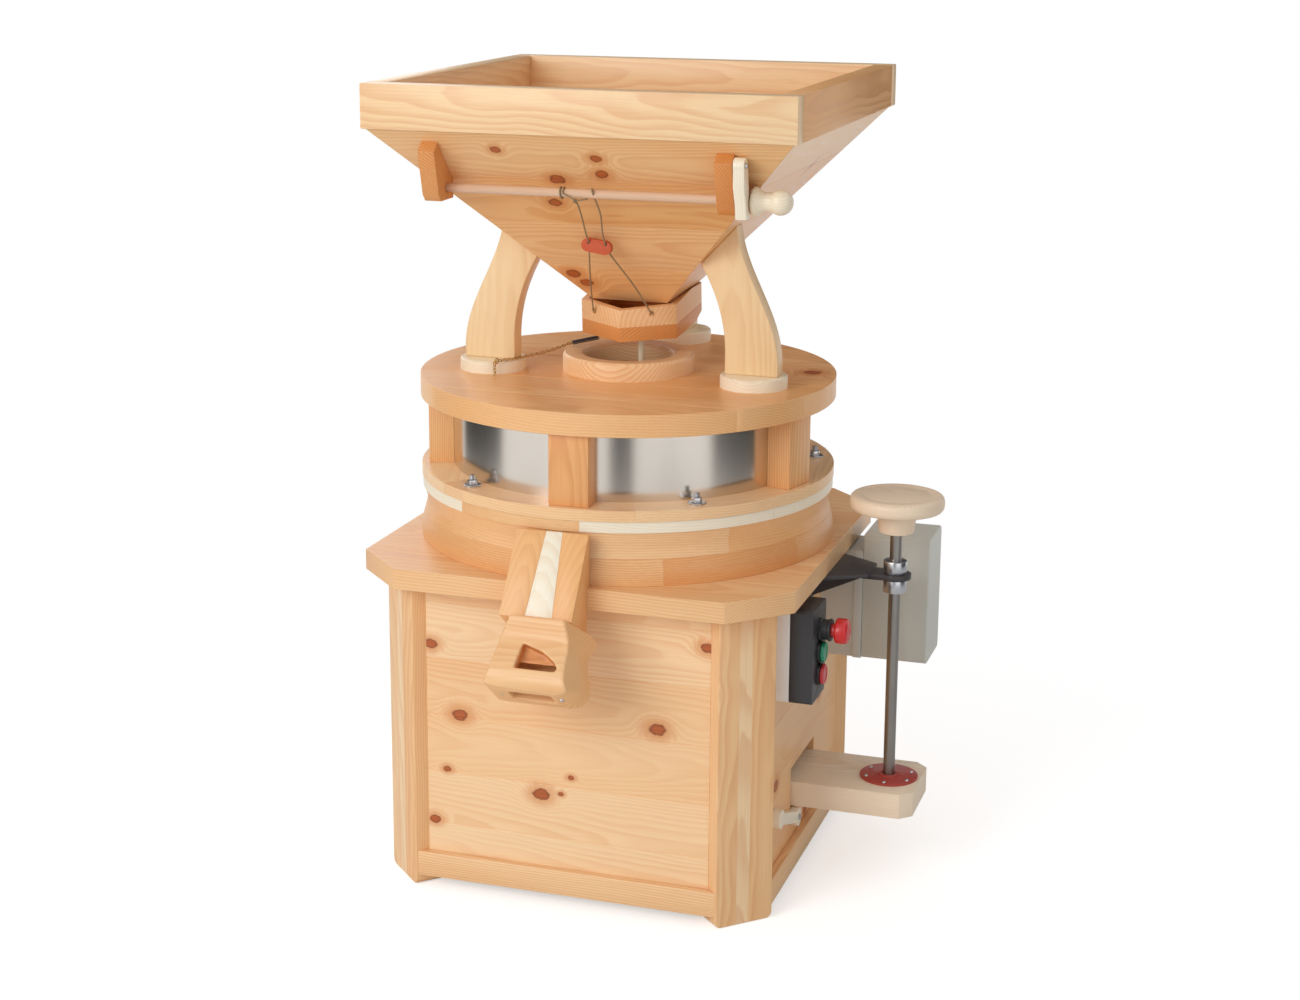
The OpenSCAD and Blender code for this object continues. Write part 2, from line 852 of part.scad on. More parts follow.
module head_outline(top, waist, low) {
    steps = 28;
    polygon(concat(
        [for (i = [0:steps]) [bell(i / steps, top, waist, low), head_len * i / steps]],
        [for (i = [steps:-1:0]) [-bell(i / steps, top, waist, low), head_len * i / steps]]));
}

module spout_head() {
    color(orange_pine) head_frame() difference() {
        intersection() {
            translate([0, 60, 0]) rotate([90, 0, 0]) linear_extrude(height = 120)
                head_outline(60, 55, 65);
            translate([-80, 0, 0]) rotate([90, 0, 90]) linear_extrude(height = 160)
                head_outline(41, 32, 38);
        }
        translate([-passage_w / 2, -passage_d / 2, -past])
            cube([passage_w, passage_d, head_len - 24]);
        translate([-24, -8, head_len - 40]) cube([56, slot_d, 60]);
        translate([0, 60, 0]) rotate([90, 0, 0]) linear_extrude(height = 60 - recess_floor)
            polygon([[-14, 34], [14, 43], [32, 55], [39, 64], [36, 69], [-17, 69]]);
        for (side = [0, 1]) mirror([side, 0, 0]) translate([facet_half, 40, 0])
            rotate([0, 8.7, 24]) translate([0, -100, -40]) cube([80, 200, 220]);
    }
}

// ---- Hopper and legs ----

module leg_pads() {
    color(pale_pine) {
        for (side = [-1, 1])
            disc(pad_r, lid_top_z, pad_top_z, feed_x + side * 187, leg_y);
        disc(pad_r, lid_top_z, pad_top_z, 5, 230);
    }
}

function leg_outer(z) = z < leg_bend_z ? leg_out_r
    : leg_top_r + (leg_out_r - leg_top_r) * (1 - ease((z - leg_bend_z) / leg_bend_h));
function leg_inner(z) = leg_in_r - 0.0025 * pow(max(0, z - 730), 2);

// Side view of a leg, as (distance from the hopper axis, z), cut to the slope of the hopper
module leg_outline(shift) {
    steps = 26;
    top = leg_bend_z + leg_bend_h;
    zs = [for (i = [0:steps]) pad_top_z + (top - pad_top_z) * i / steps];
    difference() {
        polygon(concat([for (z = zs) [shift + leg_outer(z), z]],
            [for (i = [steps:-1:0]) [shift + min(leg_inner(zs[i]), leg_outer(zs[i]) - 1), zs[i]]]));
        polygon([[0, outlet_z], [outlet_half, outlet_z], [hopper_half(rim_z), rim_z], [0, rim_z]]);
    }
}

module hopper_legs() {
    color(pale_pine) {
        for (side = [0, 1]) translate([feed_x, 0, 0]) mirror([side, 0, 0])
            slab_xz(leg_y - leg_t / 2, leg_y + leg_t / 2) leg_outline(0);
        translate([0, hopper_y, 0]) slab_yz(feed_x - leg_t / 2, feed_x + leg_t / 2) leg_outline(6);
    }
}

// A square pyramid frustum about the hopper axis, made exact as two crossed prisms
module frustum(z0, z1, half0, half1) {
    reach = 400;
    intersection() {
        slab_xz(-reach, reach)
            polygon([[-half0, z0], [half0, z0], [half1, z1], [-half1, z1]]);
        slab_yz(-reach, reach)
            polygon([[-half0, z0], [half0, z0], [half1, z1], [-half1, z1]]);
    }
}

// One of four wedges about the hopper axis, with a hairline glue joint between them
module quarter(z0, z1) {
    translate([glue_line, 0, z0]) linear_extrude(height = z1 - z0)
        polygon([[0, 0], [400, -400], [400, 400]]);
}

module hopper_walls() {
    below = outlet_z - 10;
    above = rim_z + 10;
    color(pine) translate([feed_x, hopper_y, 0]) four_sides() intersection() {
        difference() {
            frustum(outlet_z, rim_z, outlet_half, hopper_half(rim_z));
            frustum(below, above, inner_half(below), inner_half(above));
        }
        quarter(outlet_z, rim_z);
    }
}

module hopper_rim() {
    half = rim_w / 2;
    color(pine) translate([feed_x, hopper_y, 0]) {
        for (side = [-1, 1]) {
            translate([0, side * (half - rim_t / 2), 0])
                box([-half, half], [-rim_t / 2, rim_t / 2], [rim_z, rim_z + rim_h]);
            translate([side * (half - rim_t / 2), 0, 0])
                box([-rim_t / 2, rim_t / 2], [-half + rim_t + glue_line, half - rim_t - glue_line],
                    [rim_z, rim_z + rim_h]);
        }
    }
}

// ---- Feed gear ----

function wall_y(z) = hopper_y - hopper_half(z);

module bracket_outline() {
    difference() {
        polygon([[-247, 1003], [-230, 1019], [-160, 1019], [-160, 937], [-224, 937],
            [-232, 946]]);
        polygon([[hopper_y, outlet_z], [wall_y(outlet_z), outlet_z], [wall_y(rim_z), rim_z],
            [hopper_y, rim_z]]);
        polygon([[-183, 900], [-100, 900], [-100, 1019], [-183, 1019]]);
    }
}

module rod_brackets() {
    color(orange_pine) difference() {
        for (side = [-1, 1]) {
            mid = feed_x + side * (bracket_x - feed_x) + (side < 0 ? -7.2 : 0);
            slab_yz(mid - bracket_t / 2, mid + bracket_t / 2) bracket_outline();
        }
        rod_along_x(rod_r + run_gap, rod_x0 - 4, 300, rod_y, rod_z);
        rod_along_x(screw_hole_r, pawl_x - pawl_screw_in - run_gap, pawl_x, pawl_pin_y, pawl_pin_z);
    }
}

ratchet_x0 = 215;
ratchet_x1 = 227;

module feed_rod() {
    color(beech) union() {
        rod_along_x(rod_r, rod_x0, flange_x + 4, rod_y, rod_z);
        for (tooth = [0:30:330]) translate([ratchet_x0, rod_y, rod_z]) rotate([tooth, 0, 0])
            rotate([90, 0, 90]) linear_extrude(height = ratchet_x1 - ratchet_x0)
                polygon([[0, 0], [11, 0], [14, 6.5], [9, 6.5]]);
        rod_along_x(11, ratchet_x0, ratchet_x1, rod_y, rod_z);
    }
}

module feed_knob() {
    // Outline as (radius, distance from the flange face)
    color(beech) translate([flange_x, rod_y, rod_z]) rotate([0, 90, 0]) difference() {
        rotate_extrude() polygon(concat([[0, 0], [17, 0], [19, 2], [19, 6], [16.5, 9], [13.2, 15],
            [13, 20], [13.8, 26]],
            [for (a = [-18:18:90]) [15.5 * cos(a), 36 + 15.5 * sin(a)]]));
        translate([0, 0, -past]) cylinder(r = rod_r, h = 4 + past);
    }
}

// The pawl hangs in front of the ratchet and drops between its teeth
module pawl() {
    color(pale_pine) difference() {
        slab_yz(pawl_x, pawl_x + pawl_t) union() {
            translate([pawl_pin_y, pawl_pin_z]) circle(r = 10);
            translate([pawl_pin_y, 0]) polygon([[-9, pawl_pin_z], [9, pawl_pin_z], [13, 984],
                [16, 968], [16, 944], [21, 938], [21, 933], [5, 933], [2, 950], [-8, 975]]);
        }
        rod_along_x(screw_hole_r, pawl_x - past, pawl_x + pawl_t + past, pawl_pin_y, pawl_pin_z);
    }
}

// Plan of the shoe, pulled in by "inset" on every side
module shoe_plan(inset) {
    tip_in = inset * 1.16;
    polygon([[0, shoe_tip_y + tip_in], [shoe_half - inset, shoe_corner_y + inset * 0.55],
        [shoe_half - inset, shoe_rear_y - inset], [-shoe_half + inset, shoe_rear_y - inset],
        [-shoe_half + inset, shoe_corner_y + inset * 0.55]]);
}

// Frame of the shoe: its floor rises gently towards the hinge
module shoe_frame() {
    translate([shoe_x, shoe_tip_y, shoe_tip_z]) rotate([shoe_pitch, 0, 0])
        translate([0, -shoe_tip_y, 0]) children();
}

module shoe_body() {
    reach = 2 * shoe_half + 2;
    difference() {
        shoe_frame() difference() {
            linear_extrude(height = shoe_h + 30) shoe_plan(0);
            translate([0, 0, shoe_floor_t]) linear_extrude(height = shoe_h + 30)
                shoe_plan(shoe_wall);
            translate([-shoe_x, 0, -past]) cylinder(r = 20, h = shoe_floor_t + 2 * past);
            slab_yz(-reach / 2, reach / 2) polygon([[shoe_rear_y - 28, -past],
                [shoe_rear_y - 28, 0], [shoe_rear_y + past, 9], [shoe_rear_y + past, -past]]);
            translate([dowel_x - shoe_x, dowel_y, -past]) cylinder(r = dowel_r, h = 6 + past);
        }
        translate([shoe_x - reach / 2, shoe_tip_y, shoe_tip_z + shoe_h])
            rotate([shoe_top_pitch, 0, 0]) translate([0, -10, 0]) cube([reach, 220, 60]);
        translate([feed_x, hopper_y, 0]) frustum(outlet_z - 1, outlet_z + 40,
            hopper_half(outlet_z - 1) + shoe_clear, hopper_half(outlet_z + 40) + shoe_clear);
    }
}

module shoe_ear(x) {
    difference() {
        union() {
            rod_along_x(6, x - 5, x + 5, hanger_y, hanger_z);
            box([x - 5, x + 5], [shoe_rear_y - 6, hanger_y], [hanger_z - 14, hanger_z - 2]);
        }
        rod_along_x(3 + run_gap, x - 6, x + 6, hanger_y, hanger_z);
    }
}

module shoe() {
    color(orange_pine) union() {
        shoe_body();
        for (side = [-1, 1]) shoe_ear(shoe_x + side * 12);
    }
}

dowel_x = 19;
dowel_y = -3;
dowel_r = 4.4;

module shoe_dowel() {
    hang = 54;
    color(pale_pine) shoe_frame() translate([dowel_x - shoe_x, dowel_y, -hang])
        cylinder(r = dowel_r, h = hang + 6);
}

module shoe_hanger() {
    color(steel) translate([shoe_x, 0, 0]) {
        rod_along_x(3, -20, 20, hanger_y, hanger_z);
        difference() {
            union() {
                rod_along_x(6, -6, 6, hanger_y, hanger_z);
                slab_yz(-6, 6) polygon([[hanger_y, hanger_z - 3], [hanger_y + 5, hanger_z - 3],
                    [hanger_y + 5, hanger_z + 26], [hanger_y, hanger_z + 26]]);
                slab_yz(-6, 6) polygon([[hanger_y, hanger_z + 16], [hanger_y + 5, hanger_z + 16],
                    [hopper_y + hopper_half(hanger_z + 40), hanger_z + 40],
                    [hopper_y + hopper_half(hanger_z + 30), hanger_z + 30]]);
            }
            rod_along_x(3, -7, 7, hanger_y, hanger_z);
        }
    }
}

module feed_twine() {
    color("#8a7350") {
        tube(twine_left, twine_r);
        tube(twine_right, twine_r);
    }
}

tab_y = -122;
tab_z = 873;
tab_hole_r = 1.8;

module twine_tab() {
    color("#c45a30") difference() {
        translate([-4.5, tab_y, tab_z]) rotate([0, 8, 0]) rotate([90, 0, 0])
            translate([0, 0, -4]) linear_extrude(height = 8) union() {
                square([24, 18], center = true);
                for (side = [-1, 1]) translate([side * 12, 0]) circle(r = 9);
            }
        for (route = [twine_left, twine_right]) tube(route, tab_hole_r);
    }
}

module pull_chain() {
    color("#b08a3c") tube(chain_route, chain_r);
}

module pull_spring() {
    color("#3f4144") tube([spring_start, spring_end], spring_r);
}

table_top();
corner_posts();
plain_panels();
right_panel();
base_rails();
turn_button();
wood_screws();
cable_gland();
lever_arm();
pivot_block();
pivot_pin();
flange_nut();
footstep_cup();
spindle();
hand_wheel();
spindle_collars();
spindle_bracket();
switch_base();
switch_cover();
estop_collar();
estop_button();
start_button();
stop_button();
control_box_base();
control_box_hood();
drum_wall();
collar_ring();
steel_band();
spacer_blocks();
housing_bolts();
drum_lid();
inlet_ring();
bed_stone();
runner_stone();
rynd();
main_shaft();
neck_bearing();
sweeper();
driven_pulley();
motor_housing();
motor_shaft();
motor_pulley();
drive_belt();
spout_chute();
spout_head();
leg_pads();
hopper_legs();
hopper_walls();
hopper_rim();
rod_brackets();
feed_rod();
feed_knob();
pawl();
shoe();
shoe_dowel();
shoe_hanger();
feed_twine();
twine_tab();
pull_chain();
pull_spring();
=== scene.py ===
import json
import math
import random
from contextlib import contextmanager

import bpy
from mathutils import Matrix, Vector


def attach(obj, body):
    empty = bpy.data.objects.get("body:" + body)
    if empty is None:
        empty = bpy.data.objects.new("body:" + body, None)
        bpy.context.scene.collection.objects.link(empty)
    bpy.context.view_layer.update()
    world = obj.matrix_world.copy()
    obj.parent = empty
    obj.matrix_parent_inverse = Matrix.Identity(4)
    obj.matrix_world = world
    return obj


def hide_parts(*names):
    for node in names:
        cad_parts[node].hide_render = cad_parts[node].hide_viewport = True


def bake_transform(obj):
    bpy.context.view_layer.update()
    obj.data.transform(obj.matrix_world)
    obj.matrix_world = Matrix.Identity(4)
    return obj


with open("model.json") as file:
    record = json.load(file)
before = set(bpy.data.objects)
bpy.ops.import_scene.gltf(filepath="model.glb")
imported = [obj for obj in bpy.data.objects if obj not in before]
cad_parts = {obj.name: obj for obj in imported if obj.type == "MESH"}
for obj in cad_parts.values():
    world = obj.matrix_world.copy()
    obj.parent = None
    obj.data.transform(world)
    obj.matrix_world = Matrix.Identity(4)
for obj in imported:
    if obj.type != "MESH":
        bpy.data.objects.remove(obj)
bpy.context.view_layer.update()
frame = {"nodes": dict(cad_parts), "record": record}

MM = 0.001
put_in_scene = bpy.context.scene.collection.objects.link
X_AXIS, Y_AXIS, Z_AXIS = Vector((1, 0, 0)), Vector((0, 1, 0)), Vector((0, 0, 1))


# ---- Selecting, and short words for shader nodes ----

def only(*pieces):
    """Selects these pieces alone and makes the first one active."""
    bpy.ops.object.select_all(action="DESELECT")
    for piece in pieces:
        piece.select_set(True)
    if pieces:
        bpy.context.view_layer.objects.active = pieces[0]


def srgb(red, green, blue):
    """A paint colour, given 0 to 255 as a swatch is, in linear light."""
    def linear(level):
        level /= 255
        return level / 12.92 if level <= 0.04045 else ((level + 0.055) / 1.055) ** 2.4
    return (linear(red), linear(green), linear(blue), 1.0)


class Graph:
    """Short words for adding and joining shader nodes in one tree."""

    def __init__(self, tree):
        self.tree = tree

    def add(self, kind, **settings):
        node = self.tree.nodes.new("ShaderNode" + kind)
        for key, value in settings.items():
            setattr(node, key, value)
        return node

    def plug(self, value, socket):
        if isinstance(value, bpy.types.NodeSocket):
            self.tree.links.new(value, socket)
        elif value is not None:
            socket.default_value = value

    def math(self, operation, first, second=None, third=None, clamp=False):
        node = self.add("Math", operation=operation, use_clamp=clamp)
        for value, socket in zip((first, second, third), node.inputs):
            self.plug(value, socket)
        return node.outputs[0]

    def vector(self, operation, first, second=None, scale=None):
        node = self.add("VectorMath", operation=operation)
        self.plug(first, node.inputs[0])
        self.plug(second, node.inputs[1])
        if scale is not None:
            self.plug(scale, node.inputs["Scale"])
        return node.outputs["Value" if operation == "LENGTH" else "Vector"]

    def feed(self, node, values):
        """Links or sets the named inputs of a node."""
        for name, value in values.items():
            self.plug(value, node.inputs[name])
        return node

    def noise(self, place, scale, detail=2.0, roughness=0.5):
        return self.feed(self.add("TexNoise"), {"Vector": place, "Scale": scale, "Detail": detail,
                                                "Roughness": roughness}).outputs["Fac"]

    def ramp(self, value, low, high, to_low=0.0, to_high=1.0, smooth=False):
        node = self.add("MapRange", interpolation_type="SMOOTHSTEP" if smooth else "LINEAR")
        return self.feed(node, {"Value": value, "From Min": low, "From Max": high, "To Min": to_low,
                                "To Max": to_high}).outputs["Result"]

    def mix(self, share, first, second):
        node = self.add("Mix", data_type="RGBA")
        self.plug(share, node.inputs["Factor"])
        self.plug(first, node.inputs[6])
        self.plug(second, node.inputs[7])
        return node.outputs[2]

    def object_place(self):
        return self.add("TexCoord").outputs["Object"]

    def shader(self, kind, **values):
        return self.feed(self.add(kind), values).outputs[0]

    def either(self, share, first, second):
        """Blends two shaders."""
        node = self.add("MixShader")
        for value, socket in zip((share, first, second), node.inputs):
            self.plug(value, socket)
        return node.outputs[0]

    def group(self, tree, **values):
        return self.feed(self.add("Group", node_tree=tree), values)

    def bump(self, height, strength, distance, bsdf):
        """Raises the surface by a height of 0 to 1; "distance" is in metres."""
        bump = self.shader("Bump", Strength=strength, Distance=distance, Height=height)
        self.plug(bump, bsdf.inputs["Normal"])


# ---- Camera, lamps and floor ----

FOCAL_PX, FRAME_PX = 2262.3, (1300, 1000)
AIM_PX = (616.72, 409.0)
CAMERA_AT = Vector((0.9573, -2.9204, 1.3259))
CAMERA_TURN, CAMERA_TILT, CAMERA_ROLL = 18.4504, 12.817, 0.188
WORLD_LIGHT, FLOOR_LIFT = 0.5, 0.5
FLOOR_FADE = (0.55, 1.3)
LAMPS = {  # place, target, size, power
    "key": ((-1.6, -3.6, 2.2), (0, 0, 0.6), 2.4, 76),
    "fill": ((2.8, -2.6, 1.2), (0, 0, 0.5), 2.0, 7),
    "rim": ((-2.4, 2.6, 2.6), (0, 0, 0.8), 2.0, 22),
}
FLAGS = {  # bearing in degrees, distance, width, height, height of the middle
    "flag_front": (-76, 2.2, 0.55, 1.6, 0.8),
    "flag_right": (6, 2.2, 2.1, 1.6, 0.8),
    "flag_left": (-179, 2.2, 1.8, 1.6, 0.8),
    "flag_back": (92, 2.3, 2.3, 1.9, 1.6),
}


def add_camera():
    data = bpy.data.cameras.new("mill_camera")
    camera = bpy.data.objects.new("mill_camera", data)
    put_in_scene(camera)
    data.sensor_width = 36
    data.lens = FOCAL_PX / FRAME_PX[0] * data.sensor_width
    data.shift_x = (FRAME_PX[0] / 2 - AIM_PX[0]) / FRAME_PX[0]
    data.shift_y = -(FRAME_PX[1] / 2 - AIM_PX[1]) / FRAME_PX[0]
    turn = Matrix.Rotation(math.radians(CAMERA_TURN), 4, "Z")
    tilt = Matrix.Rotation(math.radians(90 - CAMERA_TILT), 4, "X")
    roll = Matrix.Rotation(math.radians(CAMERA_ROLL), 4, "Z")
    camera.matrix_world = Matrix.Translation(CAMERA_AT) @ turn @ tilt @ roll
    bpy.context.scene.camera = camera


def add_lamp(name, place, target, size, power):
    data = bpy.data.lights.new(name, "AREA")
    data.shape, data.size, data.energy = "SQUARE", size, power
    lamp = bpy.data.objects.new(name, data)
    put_in_scene(lamp)
    aim = Vector(target) - Vector(place)
    lamp.matrix_world = Matrix.Translation(place) @ aim.to_track_quat("-Z", "Y").to_matrix().to_4x4()


def bare_graph(owner):
    """The empty node tree of a world or material."""
    owner.use_nodes = True
    owner.node_tree.nodes.clear()
    return Graph(owner.node_tree)


def new_finish(name):
    """A material, with short words for its nodes, and its surface shader."""
    material = bpy.data.materials.new(name)
    material.use_nodes = True
    return material, Graph(material.node_tree), material.node_tree.nodes["Principled BSDF"]


def add_world():
    """White to the camera and in reflections, a softer grey as a source of light."""
    world = bpy.data.worlds.new("studio")
    bpy.context.scene.world = world
    g = bare_graph(world)
    path = g.add("LightPath").outputs
    mirrored = g.math("MAXIMUM", path["Is Glossy Ray"], path["Is Transmission Ray"])
    seen = g.math("MAXIMUM", path["Is Camera Ray"], mirrored)
    strength = g.ramp(seen, 0.0, 1.0, WORLD_LIGHT, 1.0)
    back = g.shader("Background", Color=(1, 1, 1, 1), Strength=strength)
    g.plug(back, g.add("OutputWorld").inputs["Surface"])


def add_floor():
    """White to the camera wherever nothing shades it, and a plain pale floor to everything else."""
    only()
    bpy.ops.mesh.primitive_plane_add(size=3.6, location=(0.1, -0.2, -0.0005))
    floor = bpy.context.active_object
    floor.name = "studio_floor"
    material = bpy.data.materials.new("studio_floor")
    g = bare_graph(material)
    away = g.vector("LENGTH", g.object_place())
    matt = g.shader("BsdfDiffuse", Color=(0.86, 0.86, 0.86, 1))
    lifted = g.add("AddShader")
    g.plug(matt, lifted.inputs[0])
    g.plug(g.shader("Emission", Strength=FLOOR_LIFT), lifted.inputs[1])
    faded = g.either(g.ramp(away, *FLOOR_FADE), lifted.outputs[0], g.shader("Emission"))
    shown = g.either(g.add("LightPath").outputs["Is Camera Ray"], matt, faded)
    g.plug(shown, g.add("OutputMaterial").inputs["Surface"])
    floor.data.materials.append(material)


def add_flag(name, bearing, distance, width, height, middle):
    """A black card that stands beside the mill and shows only in its polished metal."""
    only()
    angle = math.radians(bearing)
    place = (distance * math.cos(angle), distance * math.sin(angle), middle)
    bpy.ops.mesh.primitive_plane_add(size=1, location=place,
                                     rotation=(math.radians(90), 0, angle + math.radians(90)))
    flag = bpy.context.active_object
    flag.name, flag.scale = name, (width, height, 1)
    material, g, bsdf = new_finish(name)
    g.feed(bsdf, {"Base Color": (0.01, 0.01, 0.01, 1), "Roughness": 1.0})
    flag.data.materials.append(material)
    flag.visible_camera = flag.visible_diffuse = flag.visible_shadow = False


add_camera()
add_world()
add_floor()
for label, settings in LAMPS.items():
    add_lamp(label, *settings)
for label, settings in FLAGS.items():
    add_flag(label, *settings)
bpy.context.scene.view_settings.view_transform = "Standard"


# ---- Node groups that the finishes share ----

def shader_group(name, vectors, numbers, results):
    """An empty node group, short words for its nodes, and the sockets of its two ends."""
    tree = bpy.data.node_groups.new(name, "ShaderNodeTree")
    for labels, end, kind in ((vectors, "INPUT", "Vector"), (numbers, "INPUT", "Float"),
                              (results, "OUTPUT", "Float")):
        for label in labels:
            tree.interface.new_socket(label, in_out=end, socket_type="NodeSocket" + kind)
    return (tree, Graph(tree), tree.nodes.new("NodeGroupInput").outputs,
            tree.nodes.new("NodeGroupOutput").inputs)


def build_log_figure():
    """The figure of a log whose pith runs along X: growth rings, fibre and slow changes of tone."""
    tree, g, given, out = shader_group("log_figure", ["Log"], ["Swell", "Ring"],
                                       ["Late", "Fibre", "Cloud"])
    log = given["Log"]
    wander = g.noise(g.vector("MULTIPLY", log, (0.9, 4.0, 4.0)), 1.6, 2.0)
    ripple = g.noise(g.vector("MULTIPLY", log, (3.0, 16.0, 16.0)), 2.0, 3.0)
    radius = g.vector("LENGTH", g.vector("MULTIPLY", log, (0.0, 1.0, 1.0)))
    along = g.add("SeparateXYZ")
    g.plug(log, along.inputs[0])
    for change in (g.math("MULTIPLY", along.outputs["X"], 0.022),
                   g.math("MULTIPLY_ADD", wander, 0.024, -0.012),
                   g.math("MULTIPLY_ADD", ripple, 0.004, -0.002), given["Swell"]):
        radius = g.math("ADD", radius, change)
    age = g.math("DIVIDE", radius, given["Ring"])
    uneven = g.noise(g.vector("MULTIPLY", log, (0.4, 1.0, 1.0)), 22.0, 1.0)
    age = g.math("ADD", age, g.math("MULTIPLY", uneven, 1.6))
    year = g.math("FRACT", age)
    rise = g.ramp(year, 0.15, 0.86, smooth=True)
    fall = g.ramp(year, 0.9, 1.0, 1.0, 0.0)
    late = g.math("MULTIPLY", rise, fall)
    g.plug(late, out["Late"])
    fibre = g.noise(g.vector("MULTIPLY", log, (14.0, 420.0, 420.0)), 1.0, 2.0, 0.6)
    g.plug(fibre, out["Fibre"])
    g.plug(g.noise(g.vector("MULTIPLY", log, (1.6, 9.0, 9.0)), 1.0, 2.0), out["Cloud"])
    return tree


def build_knot():
    """One knot: a dark core, a stained halo, and the swell that the rings make round it."""
    tree, g, given, out = shader_group("knot", ["Place", "Centre"],
                                       ["Radius", "Core", "Rim", "Halo", "Swell"],
                                       ["Core", "Rim", "Halo", "Swell"])
    away = g.vector("SUBTRACT", given["Place"], given["Centre"])
    away = g.vector("MULTIPLY", away, (0.85, 0.85, 1.2))
    rough = g.noise(given["Place"], 130.0, 2.0)
    share = g.math("DIVIDE", g.vector("LENGTH", away), given["Radius"])
    share = g.math("ADD", share, g.math("MULTIPLY_ADD", rough, 0.7, -0.35))
    core = g.ramp(share, 0.75, 1.15, 1.0, 0.0, smooth=True)
    rim = g.math("MULTIPLY", core, g.ramp(share, 0.6, 0.95, 0.0, 0.75, smooth=True))
    halo = g.ramp(share, 0.9, 2.9, 1.0, 0.0, smooth=True)
    bell = g.math("POWER", 2.718, g.math("MULTIPLY", g.math("MULTIPLY", share, share), -0.22))
    swell = g.math("MULTIPLY", g.math("MULTIPLY", bell, given["Radius"]), 1.4)
    for label, share in (("Core", core), ("Rim", rim), ("Halo", halo)):
        g.plug(g.math("MAXIMUM", share, given[label]), out[label])
    g.plug(g.math("ADD", swell, given["Swell"]), out["Swell"])
    return tree


def build_scuff():
    """Fine specks and slow patches for metal and plastic."""
    tree, g, given, out = shader_group("scuff", ["Place"], [], ["Speck", "Patch"])
    g.plug(g.noise(given["Place"], 900.0, 2.0), out["Speck"])
    g.plug(g.noise(given["Place"], 18.0, 3.0), out["Patch"])
    return tree


LOG_FIGURE = build_log_figure()
KNOT = build_knot()
SCUFF = build_scuff()


# ---- Finishes ----

def wood(name, pale, deep, line, ring=4.0, contrast=0.75, rough=0.4, knots=()):
    """Oiled wood. Its figure and its tint come from the corner attributes that lay_grain writes.
    Each knot is (x, y, z, radius) in millimetres."""
    material, g, bsdf = new_finish(name)
    log = g.add("Attribute", attribute_name="figure").outputs["Vector"]
    tone = g.add("Attribute", attribute_name="tone").outputs["Fac"]
    pale, deep, line = (srgb(*color) for color in (pale, deep, line))
    found = {"Core": 0.0, "Rim": 0.0, "Halo": 0.0, "Swell": 0.0}
    place = g.object_place() if knots else None
    for x, y, z, radius in knots:
        knot = g.group(KNOT, Place=place, Centre=(x * MM, y * MM, z * MM), Radius=radius * MM, **found)
        found = {label: knot.outputs[label] for label in found}
    figure = g.group(LOG_FIGURE, Log=log, Swell=found["Swell"], Ring=ring * MM)
    late, fibre, cloud = (figure.outputs[label] for label in ("Late", "Fibre", "Cloud"))
    share = g.math("ADD", tone, g.math("MULTIPLY_ADD", cloud, 0.8, -0.4), clamp=True)
    color = g.mix(share, pale, deep)
    lines = g.math("MULTIPLY", late, g.ramp(cloud, 0.3, 0.7, contrast * 0.35, contrast))
    color = g.mix(lines, color, line)
    color = g.mix(g.ramp(fibre, 0.4, 0.8, 0.0, contrast * 0.4), color, line)
    if knots:
        core = g.mix(fibre, srgb(158, 76, 34), srgb(204, 112, 58))
        color = g.mix(g.math("MULTIPLY", found["Halo"], 0.55), color, srgb(214, 128, 62))
        color = g.mix(found["Core"], color, core)
        color = g.mix(found["Rim"], color, srgb(92, 38, 20))
    height = g.math("MULTIPLY_ADD", late, 0.5, g.math("MULTIPLY", fibre, 0.6))
    g.bump(height, 0.16, 0.0006, bsdf)
    g.feed(bsdf, {"Base Color": color, "Specular IOR Level": 0.4, "Coat Weight": 0.14,
                  "Coat Roughness": 0.2,
                  "Roughness": g.ramp(late, 0.0, 1.0, rough + 0.05, rough - 0.05)})
    return material


def metal(name, color, rough, streak, streak_depth=0.1, patch=0.12, grain=0.08, spread=0.06):
    """Drawn, brushed or plated metal; "streak" stretches its brush marks."""
    material, g, bsdf = new_finish(name)
    place = g.object_place()
    scuff = g.group(SCUFF, Place=place)
    brushed = g.noise(g.vector("MULTIPLY", place, streak), 1.0, 3.0, 0.65)
    shade = g.math("ADD", g.math("MULTIPLY_ADD", brushed, streak_depth * 2, 1 - streak_depth),
                   g.math("MULTIPLY_ADD", scuff.outputs["Patch"], patch, -patch / 2))
    g.feed(bsdf, {"Base Color": g.vector("SCALE", srgb(*color)[:3], scale=shade), "Metallic": 1.0,
                  "Roughness": g.ramp(brushed, 0.2, 0.8, rough - spread, rough + spread)})
    g.bump(brushed, grain, 0.0002, bsdf)
    return material


def painted(name, color, rough, grain=0.12, coat=0.0, patch=0.06):
    """Paint or moulded plastic with a fine surface grain."""
    material, g, bsdf = new_finish(name)
    scuff = g.group(SCUFF, Place=g.object_place())
    shade = g.math("MULTIPLY_ADD", scuff.outputs["Patch"], patch * 2, 1 - patch)
    g.feed(bsdf, {"Base Color": g.vector("SCALE", srgb(*color)[:3], scale=shade), "Coat Weight": coat,
                  "Roughness": g.ramp(scuff.outputs["Patch"], 0.3, 0.7, rough - 0.05, rough + 0.06)})
    g.bump(scuff.outputs["Speck"], grain, 0.0003, bsdf)
    return material


def stone(name):
    """Dressed millstone: speckled, pitted and matt."""
    material, g, bsdf = new_finish(name)
    place = g.object_place()
    speck = g.noise(place, 420.0, 3.0, 0.7)
    cloud = g.noise(place, 26.0, 3.0)
    color = g.mix(g.ramp(speck, 0.42, 0.62), srgb(168, 156, 136), srgb(205, 196, 178))
    color = g.mix(g.ramp(cloud, 0.35, 0.7, 0.0, 0.5), color, srgb(150, 132, 110))
    g.feed(bsdf, {"Base Color": color, "Roughness": 0.92})
    g.bump(speck, 0.6, 0.001, bsdf)
    return material


